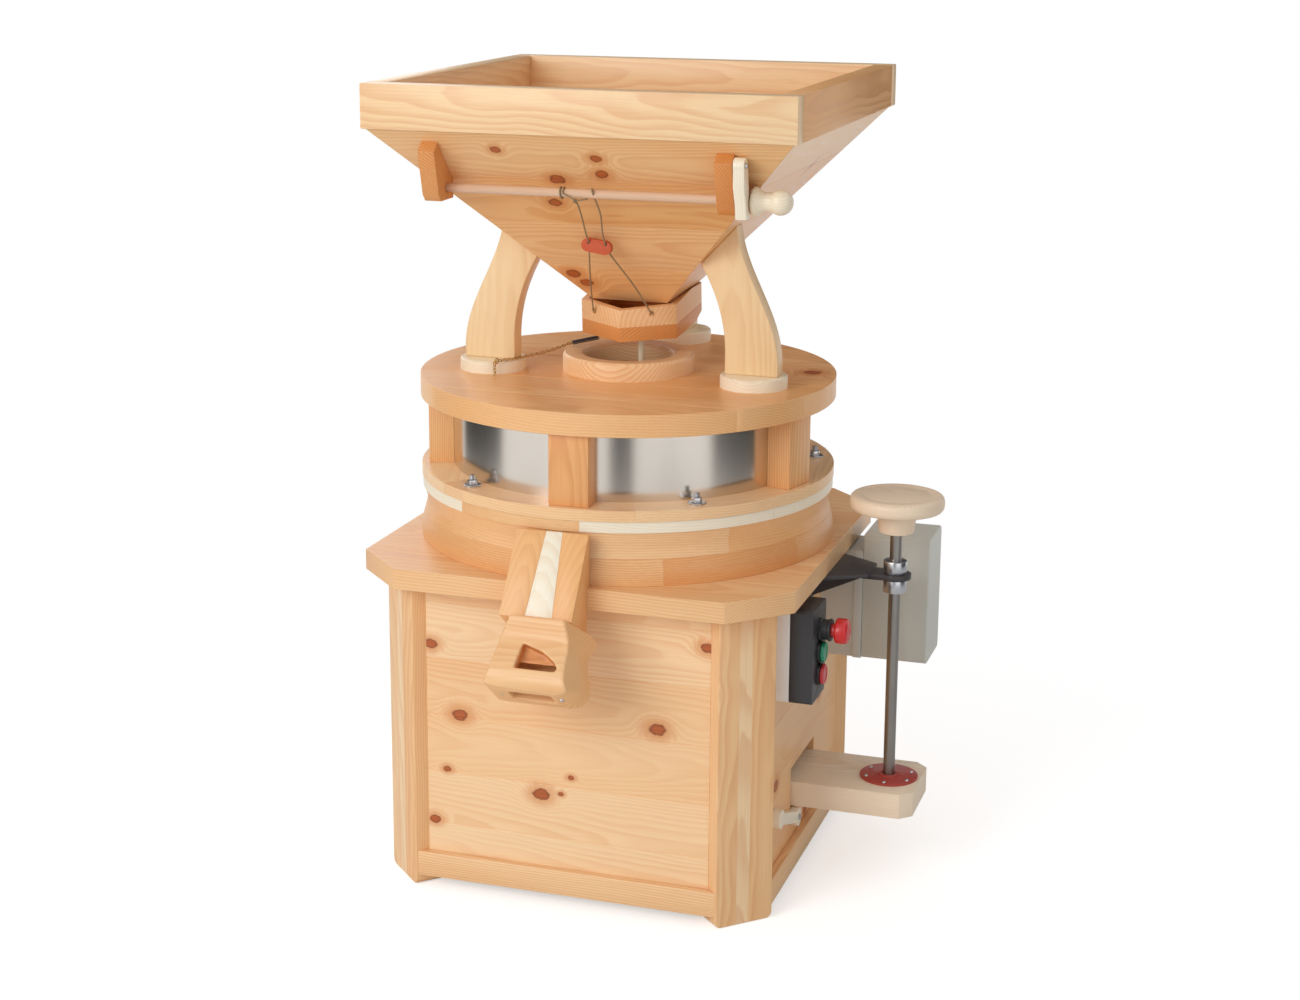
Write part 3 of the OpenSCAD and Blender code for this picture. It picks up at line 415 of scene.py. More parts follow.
def twisted_cord(name, color, dark, twist=0.0042):
    """Laid twine: dark lines that wind round it, painted shade in the creases between its strands, from
    its own UV map (U round, V along).
    """
    material, g, bsdf = new_finish(name)
    lay = g.add("SeparateXYZ")
    g.plug(g.add("UVMap", uv_map="route").outputs[0], lay.inputs[0])
    wound = g.math("ADD", g.math("MULTIPLY", lay.outputs["X"], 2.0),
                   g.math("DIVIDE", lay.outputs["Y"], twist))
    strand = g.math("PINGPONG", wound, 0.5)
    fuzz = g.noise(g.object_place(), 1500.0, 2.0)
    # Painted shade: the twine darkens towards brown in the creases between its strands, where shade
    # falls.
    crease_shade = g.ramp(strand, 0.0, 0.2, 1.0, 0.0)
    tone = g.mix(g.ramp(fuzz, 0.35, 0.65, 0.0, 0.6), srgb(*color), srgb(*dark))
    color = g.mix(g.math("MULTIPLY", crease_shade, 0.8), tone, srgb(78, 60, 40))
    g.feed(bsdf, {"Base Color": color, "Roughness": 0.85})
    g.bump(strand, 0.7, 0.0006, bsdf)
    return material


PINE = ((253, 223, 180), (247, 196, 141), (228, 156, 97))
OILED = ((238, 180, 116), (222, 140, 68), (184, 98, 40))
PALE = ((252, 243, 222), (246, 228, 194), (228, 196, 152))
BEECH = ((250, 230, 204), (240, 212, 180), (212, 174, 136))


# ---- Modelling tools; sizes and places are in millimetres ----

RECORD = frame["record"]
BODY_OF = {node: body for body, nodes in RECORD["behaviour"]["bodies"].items() for node in nodes}
BOARD_TONE = (0.15, 0.75)
draw = random.Random(1089)


@contextmanager
def editing(piece):
    """Edit mode on one piece, with all of it selected."""
    only(piece)
    mesh = piece.data
    for elements in (mesh.vertices, mesh.edges, mesh.polygons):
        elements.foreach_set("select", [True] * len(elements))
    bpy.context.tool_settings.mesh_select_mode = (True, False, False)
    bpy.ops.object.mode_set(mode="EDIT")
    yield
    bpy.ops.object.mode_set(mode="OBJECT")


def fresh(name):
    """Names the primitive that was just added, with its place put into its mesh."""
    piece = bpy.context.active_object
    piece.name = piece.data.name = name
    bpy.ops.object.transform_apply(location=True, rotation=True, scale=True)
    return piece


def mend(piece, gap=0.002):
    """Merges doubled points and turns every face outwards."""
    with editing(piece):
        bpy.ops.mesh.remove_doubles(threshold=gap * MM)
        bpy.ops.mesh.delete_loose()
        bpy.ops.mesh.select_all(action="SELECT")
        bpy.ops.mesh.normals_make_consistent(inside=False)


def add_turned(name, profile, at=(0, 0, 0), axis=Z_AXIS, steps=72):
    """A closed profile of (radius, distance along the axis), spun as on a lathe."""
    side = Y_AXIS if axis is X_AXIS else X_AXIS
    only()
    bpy.ops.mesh.primitive_circle_add(vertices=len(profile), fill_type="NOTHING")
    piece = fresh(name)
    for vertex, (radius, along) in zip(piece.data.vertices, profile):
        vertex.co = (Vector(at) + side * radius + axis * along) * MM
    with editing(piece):
        bpy.ops.mesh.spin(steps=steps, angle=2 * math.pi, center=Vector(at) * MM, axis=axis)
    mend(piece)
    return piece


def add_bolt_head(name, at, axis, radius, height):
    """A hexagonal head with turned-off corners."""
    only()
    turn = axis.to_track_quat("Z", "Y").to_euler()
    middle = (Vector(at) + axis * height / 2) * MM
    bpy.ops.mesh.primitive_cylinder_add(vertices=6, radius=radius * MM, depth=height * MM,
                                        location=middle, rotation=turn)
    piece = fresh(name)
    soften(piece, height * 0.18, 2)
    return piece


def apply_modifiers(piece):
    only(piece)
    for modifier in list(piece.modifiers):
        bpy.ops.object.modifier_apply(modifier=modifier.name)


def soften(piece, width, segments=2, angle=30):
    """Takes the sharp edges off."""
    bevel = piece.modifiers.new("arris", "BEVEL")
    bevel.width, bevel.segments = width * MM, segments
    bevel.limit_method, bevel.angle_limit = "ANGLE", math.radians(angle)
    bevel.harden_normals = False
    apply_modifiers(piece)


def smooth(piece, angle=32):
    piece.data.shade_smooth()
    piece.data.set_sharp_from_angle(angle=math.radians(angle))


def joined(name, pieces):
    only(*pieces)
    if len(pieces) > 1:
        bpy.ops.object.join()
    piece = bpy.context.view_layer.objects.active
    piece.name = piece.data.name = name
    return piece


def middle_of(piece):
    return sum((vertex.co for vertex in piece.data.vertices), Vector()) / len(piece.data.vertices)


def runs_along_x(piece):
    """True if a piece is longer along X than along Y."""
    x, y = ([vertex.co[axis] for vertex in piece.data.vertices] for axis in (0, 1))
    return max(x) - min(x) > max(y) - min(y)


def loose_parts(piece):
    """Parts a piece into its separate solids."""
    with editing(piece):
        bpy.ops.mesh.separate(type="LOOSE")
    return list(bpy.context.selected_objects)


def copy_of(piece, name):
    twin = piece.copy()
    twin.data = piece.data.copy()
    put_in_scene(twin)
    twin.name = twin.data.name = name
    return twin


def blank_of(node, name="blank"):
    """A merged copy of a CAD node's mesh, with its flat faces whole, to work on."""
    piece = bpy.data.objects.new(name, frame["nodes"][node].data.copy())
    put_in_scene(piece)
    piece.data.materials.clear()
    for layer in list(piece.data.uv_layers):
        piece.data.uv_layers.remove(layer)
    only(piece)
    if piece.data.has_custom_normals:
        bpy.ops.mesh.customdata_custom_splitnormals_clear()
    mend(piece)
    with editing(piece):
        bpy.ops.mesh.dissolve_limited(angle_limit=math.radians(0.4))
    return piece


def cut_off(piece, point, normal, keep):
    """Cuts a piece along a plane, closes the cut, and drops what lies on one side of it."""
    with editing(piece):
        bpy.ops.mesh.bisect(plane_co=Vector(point) * MM, plane_no=normal, use_fill=True,
                            **{keep: True})


def saw(piece, point, normal, name):
    """Cuts a piece in two along a plane, and gives back what lies in front."""
    front = copy_of(piece, name)
    cut_off(piece, point, normal, "clear_outer")
    cut_off(front, point, normal, "clear_inner")
    return front


def sawn(piece, axis, places):
    """Saws a piece into boards at places along an axis."""
    boards = [piece]
    for number, place in enumerate(places):
        boards.append(saw(boards[-1], axis * place, axis, f"{piece.name}_{number + 1}"))
    return [board for board in boards if len(board.data.polygons)]


def wedges(piece, joints):
    """Saws a ring about the stone axis into segments at the given angles, in degrees."""
    parts = []
    for number, (first, last) in enumerate(zip(joints, joints[1:] + joints[:1])):
        wedge = copy_of(piece, f"{piece.name}_{number}")
        for angle, keep in ((math.radians(first), "clear_inner"), (math.radians(last), "clear_outer")):
            cut_off(wedge, (0, 0, 0), (-math.sin(angle), math.cos(angle), 0), keep)
        parts.append(wedge)
    bpy.data.objects.remove(piece)
    return parts


def lay_grain(piece, along, face, depth=(0.05, 0.11), tone=BOARD_TONE):
    """Writes where each corner of one board lay in its log, and the board's tint: its own tone, or
    painted shade where a caller gives a deeper tone.
    """
    mesh = piece.data
    along = Vector(along).normalized()
    face = (Vector(face) - along * Vector(face).dot(along)).normalized()
    side = face.cross(along)
    middle = middle_of(piece)
    pith = Vector((draw.uniform(-4, 4), draw.uniform(-0.03, 0.03), draw.uniform(*depth)))
    shade = draw.uniform(*tone)
    turn = Matrix((along, side, face))
    spots = [turn @ (vertex.co - middle) + pith for vertex in mesh.vertices]
    flat = [value for loop in mesh.loops for value in spots[loop.vertex_index]]
    figure = mesh.attributes.new("figure", "FLOAT_VECTOR", "CORNER")
    figure.data.foreach_set("vector", flat)
    tint = mesh.attributes.new("tone", "FLOAT", "CORNER")
    tint.data.foreach_set("value", [shade] * len(mesh.loops))


def planed(boards, edge, segments, along, face, **grain):
    """Softens the edges of boards that lie the same way, and lays the grain of each."""
    for board in boards:
        soften(board, edge, segments)
        lay_grain(board, along, face, **grain)
    return boards


def fit(piece, finish, body, angle=32):
    """Gives a finished piece its body, and its finish unless its parts have theirs."""
    smooth(piece, angle)
    if finish is not None:
        piece.data.materials.clear()
        piece.data.materials.append(finish)
    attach(piece, body)


def dress(piece, finish, node, angle=32):
    """The same for a piece that replaces a node, with that node's body."""
    fit(piece, finish, BODY_OF[node], angle)
    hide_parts(node)


def shaped(node, name, finish, edge, segments=2, grain=None):
    """A node's own shape with its edges softened; "grain" is how its wood lies, and its tint."""
    piece = blank_of(node, name)
    soften(piece, edge, segments)
    if grain is not None:
        along, face, tone = grain
        lay_grain(piece, along, face, tone=tone)
    dress(piece, finish, node)


def paint(finish, *nodes):
    """A new finish on CAD nodes whose shape stays."""
    for node in nodes:
        mesh = frame["nodes"][node].data
        mesh.materials.clear()
        mesh.materials.append(finish)


# ---- Finishes of the mill ----

FRONT_KNOTS = [(-151, -260, 250, 9.5), (127, -260, 263, 10), (-35, -260, 151, 10),
               (7, -260, 180, 4), (-7, -260, 155, 3.6), (-170, -260, 170, 5), (-192, -260, 346, 8),
               (-189, -260, 95, 7), (194, -260, 382, 8), (261, -150, 160, 10), (261, 90, 210, 9),
               (261, 20, 60, 8), (-261, 60, 240, 9), (-261, -110, 130, 8), (-80, 261, 300, 9),
               (120, 261, 160, 8)]
HOPPER_KNOTS = [(-106, -227, 1007, 6), (27, -220, 1000, 7), (28, -200, 978, 8), (-35, -190, 968, 9),
                (-50, -158, 933, 8), (-62, -54, 823, 9), (-47, -41, 809, 8), (240, 90, 960, 10),
                (90, 240, 950, 9), (-215, -20, 955, 9)]

pine_boards = wood("pine_boards", *PINE, ring=2.8, contrast=0.34, knots=FRONT_KNOTS)
# A deeper, more saturated pine than pine_boards: painted shade and orange bounce light on the hopper's
# walls, which face down and out.
pine_hopper_bounce_shade = wood("pine_hopper_bounce_shade", (250, 213, 162), (240, 178, 108), (214, 132, 64),
                   ring=3.0, contrast=0.36, knots=HOPPER_KNOTS)
pine_frame = wood("pine_frame", (251, 219, 174), (242, 181, 115), (216, 138, 75),
                  ring=3.6, contrast=0.42, knots=[(222, -300, 325, 9), (247, 60, 684, 10)])
pine_blocks = wood("pine_blocks", (246, 202, 146), (232, 160, 92), (200, 116, 56),
                   ring=3.0, contrast=0.5)
oiled_end_grain = wood("oiled_end_grain", *OILED, ring=2.6, contrast=0.6)
cream_wood = wood("cream_wood", *PALE, ring=3.4, contrast=0.3)
leg_wood = wood("leg_wood", (249, 226, 184), (243, 202, 148), (222, 168, 108), ring=4.4,
                contrast=0.3)
beech_wood = wood("beech_wood", *BEECH, ring=1.6, contrast=0.35, rough=0.5)
rod_wood = wood("rod_wood", (236, 204, 174), (222, 180, 148), (190, 140, 106), ring=1.8,
                contrast=0.35)

band_steel = metal("band_steel", (218, 210, 200), 0.2, streak=(700.0, 700.0, 3.0),
                   streak_depth=0.02, patch=0.03, grain=0.01, spread=0.01)
plated_steel = metal("plated_steel", (196, 198, 202), 0.3, streak=(90, 90, 90), patch=0.2)
drawn_steel = metal("drawn_steel", (150, 146, 142), 0.34, streak=(200, 200, 20), patch=0.2)
spring_wire = metal("spring_wire", (72, 72, 76), 0.34, streak=(300, 300, 300))
brass_chain = metal("brass_chain", (190, 150, 84), 0.34, streak=(300, 300, 300), patch=0.3)
cast_iron = painted("cast_iron", (72, 70, 72), 0.6, grain=0.5, patch=0.12)
turned_alloy = metal("turned_alloy", (188, 190, 194), 0.36, streak=(60, 60, 400))
motor_paint = painted("motor_paint", (116, 128, 136), 0.46, grain=0.3)
bracket_paint = painted("bracket_paint", (62, 58, 60), 0.46, grain=0.35, patch=0.1)
flange_paint = painted("flange_paint", (178, 66, 56), 0.42, grain=0.25, patch=0.12)
white_plastic = painted("white_plastic", (246, 246, 244), 0.4, grain=0.16)
pale_plastic = painted("pale_plastic", (214, 214, 208), 0.44, grain=0.16)
hood_plastic = painted("hood_plastic", (212, 212, 202), 0.48, grain=0.3, patch=0.05)
dark_plastic = painted("dark_plastic", (54, 54, 57), 0.42, grain=0.3)
black_plastic = painted("black_plastic", (34, 34, 36), 0.4, grain=0.2)
red_plastic = painted("red_plastic", (214, 28, 30), 0.3, grain=0.06, coat=0.3)
stop_plastic = painted("stop_plastic", (208, 48, 56), 0.34, grain=0.06, coat=0.2)
green_plastic = painted("green_plastic", (28, 146, 106), 0.34, grain=0.06, coat=0.2)
rubber_belt = painted("rubber_belt", (36, 36, 38), 0.75, grain=0.6)
tab_leather = painted("tab_leather", (196, 84, 46), 0.55, grain=0.8, patch=0.2)
brown_twine = twisted_cord("brown_twine", (178, 152, 118), (122, 98, 68))
millstone = stone("millstone")


# ---- Cabinet ----

TABLE_SEAMS = [-205, -98, 12, 108, 212]
boards = planed(sawn(blank_of("table_top"), Y_AXIS, TABLE_SEAMS), 0.5, 1, X_AXIS, Z_AXIS,
                tone=(0.2, 0.5))
dress(joined("table_boards", boards), pine_frame, "table_top")

SAPWOOD = (-12, 7)
posts = []
for post in loose_parts(blank_of("corner_posts")):
    soften(post, 2.2, 3)
    middle = post.data.vertices[0].co
    outward = Vector((math.copysign(1, middle.x), math.copysign(1, middle.y), 0)).normalized()
    across = Z_AXIS.cross(outward)
    core = saw(post, across * SAPWOOD[0], across, "post_core")
    rest = saw(core, across * SAPWOOD[1], across, "post_rest")
    for stave, tone in ((post, 0.45), (core, 0.0), (rest, 0.55)):
        lay_grain(stave, Z_AXIS, outward, tone=(tone, tone))
        posts.append(stave)
dress(joined("corner_post_set", posts), pine_frame, "corner_posts")

PANEL_SEAMS = [91, 166, 247, 326, 405]


def panel_boards(blank, outward, tone=BOARD_TONE):
    """A panel of boards laid edge to edge, each with its own figure."""
    return planed(sawn(blank, Z_AXIS, PANEL_SEAMS), 0.7, 1, outward.cross(Z_AXIS), outward, tone=tone)


boards = []
for blank in loose_parts(blank_of("plain_panels")):
    middle = middle_of(blank)
    outward = X_AXIS if abs(middle.x) > abs(middle.y) else Y_AXIS
    boards += panel_boards(blank, outward)
dress(joined("plain_panel_boards", boards), pine_boards, "plain_panels")
# The right panel's boards take a deeper tone, 0.8 to 1.2: painted shade on the cabinet's right side,
# away from the key lamp.
boards = panel_boards(blank_of("right_panel"), X_AXIS, (0.8, 1.2))
dress(joined("right_panel_boards", boards), pine_boards, "right_panel")

rails = loose_parts(blank_of("base_rails"))
for rail in rails:
    run = X_AXIS if runs_along_x(rail) else Y_AXIS
    soften(rail, 1.2)
    lay_grain(rail, run, Z_AXIS, tone=(0.1, 0.5))
dress(joined("base_rail_set", rails), pine_frame, "base_rails")


# ---- Stone housing ----

def ring_boards(blank, joints, tone, *finishes):
    """A ring glued up from segments, each sawn along its own chord. The first finish is for the
    first segment and the last one for the others."""
    boards = wedges(blank, joints)
    for number, board in enumerate(boards):
        last = (joints + [joints[0] + 360])[number + 1]
        angle = math.radians((joints[number] + last) / 2)
        soften(board, 0.5, 1)
        lay_grain(board, (-math.sin(angle), math.cos(angle), 0), Z_AXIS, tone=tone)
        board.data.materials.append(finishes[-1 if number else 0])
    return boards


WALL_SEAM, COLLAR_SEAM = 493, 543

low, high = sawn(blank_of("drum_wall"), Z_AXIS, [WALL_SEAM])
# The lower layer takes the deeper orange pine_blocks finish: painted shade on the wall just above the
# table top.
low = ring_boards(low, [-150, -101, -62.5, -20, 24, 70, 116, 162], (0.2, 0.7), pine_blocks)
high = ring_boards(high, [-128, -86, -44, 2, 48, 94, 140, 186], (0.35, 1.0), pine_frame)
dress(joined("drum_wall_layers", low + high), None, "drum_wall")

low, high = sawn(blank_of("collar_ring"), Z_AXIS, [COLLAR_SEAM])
low = ring_boards(low, [-122, -84.5, -30, 24, 76, 128, 186], (0.0, 0.2), pine_blocks, cream_wood)
high = ring_boards(high, [-131, -121, -70, -20, 30, 80, 130, 180], (0.0, 0.7), pine_frame)
dress(joined("collar_layers", low + high), None, "collar_ring")

blocks = loose_parts(blank_of("spacer_blocks"))
for block in blocks:
    soften(block, 1.0)
    middle = block.data.vertices[0].co
    lay_grain(block, Z_AXIS, (middle.x, middle.y, 0), tone=(0.1, 0.7))
dress(joined("spacer_block_set", blocks), pine_blocks, "spacer_blocks")

LID_SEAMS = [-196, -92, 4, 104, 198]
# The lid boards take a deep tone, 0.65 to 1.05: painted shade, so that the lid's top is darker than the
# fronts, as the light comes more from the front than from above.
boards = planed(sawn(blank_of("drum_lid"), Y_AXIS, LID_SEAMS), 0.6, 1, X_AXIS, Z_AXIS,
                tone=(0.65, 1.05))
dress(joined("lid_boards", boards), pine_frame, "drum_lid")

LID_TOP, INLET_TOP = 684, 709
inlet = add_turned("inlet_collar", [(61.5, LID_TOP), (91, LID_TOP), (91, 704), (90, 707),
                                    (87.6, INLET_TOP), (68, INLET_TOP), (64, 707.6), (62, 704.5),
                                    (61.5, 700)], steps=96)
lay_grain(inlet, X_AXIS, Z_AXIS, tone=(0.1, 0.3))
dress(inlet, pine_frame, "inlet_ring")

BOLT_ANGLES = (-124, -52, 20, 92, 164)
BOLT_CIRCLE, BAND_LOW = 262, 558
STUD_PITCH = 1.25


def threaded(name, radius, low, high, at):
    """A stud with its thread turned in, as grooves one pitch apart."""
    depth = 0.6 * STUD_PITCH
    crests = int((high - low) / STUD_PITCH)
    profile = [(0, low)]
    for crest in range(crests):
        base = low + crest * STUD_PITCH
        profile += [(radius - depth, base), (radius, base + STUD_PITCH / 2)]
    profile += [(radius - depth, high - 0.4), (radius - 1.4, high), (0, high)]
    return add_turned(name, profile, at=at, steps=20)


bolts = []
for angle in BOLT_ANGLES:
    x = BOLT_CIRCLE * math.cos(math.radians(angle))
    y = BOLT_CIRCLE * math.sin(math.radians(angle))
    washer = add_turned("washer", [(4.2, 0), (11.6, 0), (12, 0.4), (12, 1.6), (11.4, 2), (4.2, 2)],
                        at=(x, y, BAND_LOW), steps=36)
    nut = add_bolt_head("nut", (x, y, BAND_LOW + 2), Z_AXIS, 7.5, 6.5)
    bolts += [washer, nut, threaded("stud", 3.95, BAND_LOW + 6, BAND_LOW + 15, (x, y, 0))]
dress(joined("housing_bolt_set", bolts), plated_steel, "housing_bolts")
paint(band_steel, "steel_band")


# ---- Hopper, legs and pads ----

HOPPER_X, HOPPER_Y = 7.2, 36.8
HOPPER_SLOPE = 0.938
HOPPER_SEAMS = [836, 902, 968]


def side_of_hopper(piece):
    """The outward direction of one of the four sides."""
    middle = middle_of(piece)
    x, y = middle.x - HOPPER_X * MM, middle.y - HOPPER_Y * MM
    return X_AXIS * math.copysign(1, x) if abs(x) > abs(y) else Y_AXIS * math.copysign(1, y)


boards = []
for wall in loose_parts(blank_of("hopper_walls")):
    outward = side_of_hopper(wall)
    boards += planed(sawn(wall, Z_AXIS, HOPPER_SEAMS), 0.35, 1, outward.cross(Z_AXIS),
                     outward - Z_AXIS * HOPPER_SLOPE)
dress(joined("hopper_boards", boards), pine_hopper_bounce_shade, "hopper_walls")

boards = loose_parts(blank_of("hopper_rim"))
for board in boards:
    outward = side_of_hopper(board)
    soften(board, 1.6)
    # The rim board on the right (+X) side takes a deeper tone: painted shade on the side away from the
    # key lamp.
    tone = (0.9, 1.1) if outward == X_AXIS else (0.0, 0.35)
    lay_grain(board, outward.cross(Z_AXIS), outward, tone=tone)
dress(joined("hopper_rim_boards", boards), pine_frame, "hopper_rim")

legs = loose_parts(blank_of("hopper_legs"))
for leg in legs:
    face = Y_AXIS if runs_along_x(leg) else X_AXIS
    soften(leg, 2.4, 3, angle=40)
    lay_grain(leg, Z_AXIS, face, tone=(0.2, 0.6))
dress(joined("hopper_leg_set", legs), leg_wood, "hopper_legs")

PAD_PLACES = ((HOPPER_X - 187, -54), (HOPPER_X + 187, -54), (5, 230))
pads = []
for x, y in PAD_PLACES:
    pad = add_turned("pad", [(0, 0), (45.5, 0), (45.5, 13), (45, 15.4), (43.2, 17), (0, 17)],
                     at=(x, y, LID_TOP), steps=64)
    lay_grain(pad, X_AXIS, Z_AXIS, tone=(0.0, 0.3))
    pads.append(pad)
dress(joined("leg_pad_set", pads), cream_wood, "leg_pads")


# ---- Feed gear ----

ROD_Y, ROD_Z, KNOB_X = -203, 953, 229

brackets = planed(loose_parts(blank_of("rod_brackets")), 1.2, 2, (0, 0.3, 1), X_AXIS,
                  depth=(0.02, 0.04), tone=(0.5, 0.9))
dress(joined("rod_bracket_set", brackets), oiled_end_grain, "rod_brackets")

rod = blank_of("feed_rod", "feed_rod_turned")
soften(rod, 0.4, 1, angle=40)
lay_grain(rod, X_AXIS, Z_AXIS)
dress(rod, rod_wood, "feed_rod", angle=50)

KNOB_NECK = [(0, 0), (17.4, 0), (18.8, 1.4), (19, 3), (18.8, 5), (17.2, 7.2), (15, 10),
             (13.2, 13), (12.2, 16), (11.9, 19), (12.3, 22)]
BALL_R, BALL_AT = 16.2, 35.6
ball = [(BALL_R * math.cos(math.radians(a)), BALL_AT + BALL_R * math.sin(math.radians(a)))
        for a in range(-36, 88, 6)]
knob = add_turned("feed_knob_turned", KNOB_NECK + ball + [(0, BALL_AT + BALL_R)],
                  at=(KNOB_X, ROD_Y, ROD_Z), axis=X_AXIS)
lay_grain(knob, X_AXIS, Z_AXIS, tone=(0.0, 0.3))
dress(knob, cream_wood, "feed_knob", angle=50)

shaped("pawl", "pawl_shaped", cream_wood, 1.6, 3, (Z_AXIS, X_AXIS, (0.0, 0.1)))

SHOE_PITCH = math.radians(4.6)
SHOE_TIP = (0, -52, 731)
SHOE_LAYER = 20
blank = blank_of("shoe")
upper = saw(blank, (0, SHOE_TIP[1], SHOE_TIP[2] + SHOE_LAYER),
            (0, -math.sin(SHOE_PITCH), math.cos(SHOE_PITCH)), "shoe_upper")
for layer, finish, tone in ((blank, oiled_end_grain, 0.55), (upper, pine_frame, 0.45)):
    soften(layer, 0.7, 1)
    lay_grain(layer, X_AXIS, Z_AXIS, depth=(0.04, 0.06), tone=(tone, tone))
    layer.data.materials.append(finish)
dress(joined("shoe_layers", [blank, upper]), None, "shoe")

shaped("shoe_dowel", "dowel_turned", cream_wood, 0.6, 2, (Z_AXIS, X_AXIS, BOARD_TONE))
paint(plated_steel, "shoe_hanger", "wood_screws")


# ---- Spout ----

CHUTE_RUN = Vector((0, 68, 128)).normalized()
middle = blank_of("spout_chute")
right = saw(middle, (6, -294, 558), Vector((1, 0, 0.09)), "chute_right")
left = saw(middle, (-12, -294, 558), Vector((-1, 0, 0.06)), "chute_left")
boards = [left, middle, right]
for board, tone in zip(boards, (0.85, 0, 0.95)):
    soften(board, 0.7, 2)
    lay_grain(board, CHUTE_RUN, CHUTE_RUN.cross(X_AXIS), tone=(tone, tone))
    board.data.materials.append(cream_wood if tone == 0 else pine_frame)
dress(joined("chute_boards", boards), None, "spout_chute")

HEAD_AT = Vector((1, -336, 412.6)) * MM
HEAD_TURN = math.radians(38)
HEAD_FRONT = Vector((0, -math.cos(HEAD_TURN), math.sin(HEAD_TURN)))
HEAD_DOWN = Vector((0, -math.sin(HEAD_TURN), -math.cos(HEAD_TURN)))
RECESS = ((-18, 40), (18.5, 30.5), (33, 71))

head = blank_of("spout_head", "spout_head_carved")
remesh = head.modifiers.new("carve", "REMESH")
remesh.mode, remesh.voxel_size = "VOXEL", 1.3 * MM
relax = head.modifiers.new("sand", "SMOOTH")
relax.factor, relax.iterations = 0.6, 12
apply_modifiers(head)
lay_grain(head, X_AXIS, (0, -0.6, 0.8), depth=(0.03, 0.04), tone=(0.6, 0.6))
# The faces inside the recess take the darker oiled_end_grain finish: painted shade and orange bounce
# light inside the pocket.
for finish in (pine_frame, oiled_end_grain):
    head.data.materials.append(finish)
for face in head.data.polygons:
    spot = (face.center - HEAD_AT) / MM
    inside = (spot.x, spot.dot(HEAD_FRONT), spot.dot(HEAD_DOWN))
    face.material_index = all(low < value < high for value, (low, high) in zip(inside, RECESS))
dress(head, None, "spout_head", angle=60)

screws = []
for x in (-36, 44):
    at = (HEAD_AT + HEAD_DOWN * 93.6 * MM + HEAD_FRONT * 6 * MM) / MM + X_AXIS * x
    screws.append(add_turned("screw", [(0, 0), (3.2, 0), (3.6, 1.2), (3.2, 2.2), (0.9, 2.6), (0.8, 1.4),
                                       (0, 1.4)], steps=20))
    turn = Z_AXIS.rotation_difference(HEAD_DOWN).to_matrix().to_4x4()
    screws[-1].data.transform(Matrix.Translation(at * MM) @ turn)
fit(joined("spout_head_screws", screws), plated_steel, "cabinet", angle=40)


# ---- Lever, hand wheel and spindle ----

SPINDLE_X = 383

shaped("lever_arm", "lever_plank", beech_wood, 1.4, 2, (X_AXIS, Z_AXIS, (0.1, 0.1)))

WHEEL = [(0, 485), (22, 485), (23.6, 486), (24.2, 488), (25.5, 500), (27.5, 508), (31, 513),
         (37, 515.6), (56, 516.2), (60.5, 517.6), (63, 520.6), (64, 525), (64, 530), (63, 534),
         (60.4, 536.6), (56.5, 537.8), (50, 537.6), (47.5, 537), (45, 537), (42.5, 537.7), (0, 538)]
wheel = add_turned("hand_wheel_turned", WHEEL, at=(SPINDLE_X, 0, 0), steps=96)
lay_grain(wheel, X_AXIS, Z_AXIS, tone=(0.2, 0.2))
dress(wheel, beech_wood, "hand_wheel", angle=40)

paint(drawn_steel, "spindle", "main_shaft", "motor_shaft", "sweeper", "pivot_pin")
shaped("spindle_collars", "collar_set", plated_steel, 0.9)
shaped("spindle_bracket", "spindle_bracket_welded", bracket_paint, 0.7)
shaped("flange_nut", "flange_painted", flange_paint, 0.6)

NAIL_CIRCLE, FLANGE_TOP = 33, 136
nails = []
for number in range(6):
    angle = math.radians(30 + 60 * number)
    spot = (SPINDLE_X + NAIL_CIRCLE * math.cos(angle), NAIL_CIRCLE * math.sin(angle), FLANGE_TOP)
    nails.append(add_turned("nail", [(0, -1), (2.6, -1), (2.8, 0), (2.4, 1), (1.4, 1.7), (0, 2)],
                            at=spot, steps=16))
fit(joined("flange_nails", nails), plated_steel, "lever", angle=60)


# ---- Switch box and control box ----

for node, finish, edge in (("switch_base", white_plastic, 1.2), ("switch_cover", dark_plastic, 1.8),
                           ("control_box_base", pale_plastic, 1.6),
                           ("control_box_hood", hood_plastic, 2.4),
                           ("cable_gland", black_plastic, 0.8)):
    shaped(node, node + "_shaped", finish, edge, 3)

SWITCH_Y, FACE_X = -139, 312


def on_switch_box(name, profile, z):
    return add_turned(name, profile, at=(FACE_X, SWITCH_Y, z), axis=X_AXIS)


ESTOP_Z = 383
mushroom = on_switch_box("estop_mushroom", [
    (0, -14), (8.8, -14), (8.8, 22.6), (15.6, 22.6), (16.8, 23.8), (17, 26), (17, 34), (16.4, 36.8),
    (14.6, 38.8), (11.5, 39.8), (8, 39.9), (6.5, 39.2), (0, 39)], ESTOP_Z)
dress(mushroom, red_plastic, "estop_button", angle=40)
sleeve = on_switch_box("estop_sleeve", [(9.2, 0), (15, 0), (15, 3), (13.6, 4.2), (13.6, 12.4),
                                        (15, 13.6), (15, 16), (14, 17), (9.2, 17)], ESTOP_Z)
dress(sleeve, black_plastic, "estop_collar", angle=40)
CAP = [(0, -14), (10.8, -14), (10.8, 4.2), (12.6, 4.2), (13.5, 5.2), (13.5, 8), (12.8, 9.3),
       (10.8, 9.5), (10, 8.7), (0, 8.7)]
BEZEL = [(13.9, 0), (15.3, 0), (15.3, 2.8), (14.9, 3.8), (13.9, 3.8)]
for node, finish, z in (("start_button", green_plastic, 352), ("stop_button", stop_plastic, 321)):
    dress(on_switch_box(node + "_cap", CAP, z), finish, node, angle=40)
    fit(on_switch_box(node + "_bezel", BEZEL, z), black_plastic, "cabinet", angle=40)

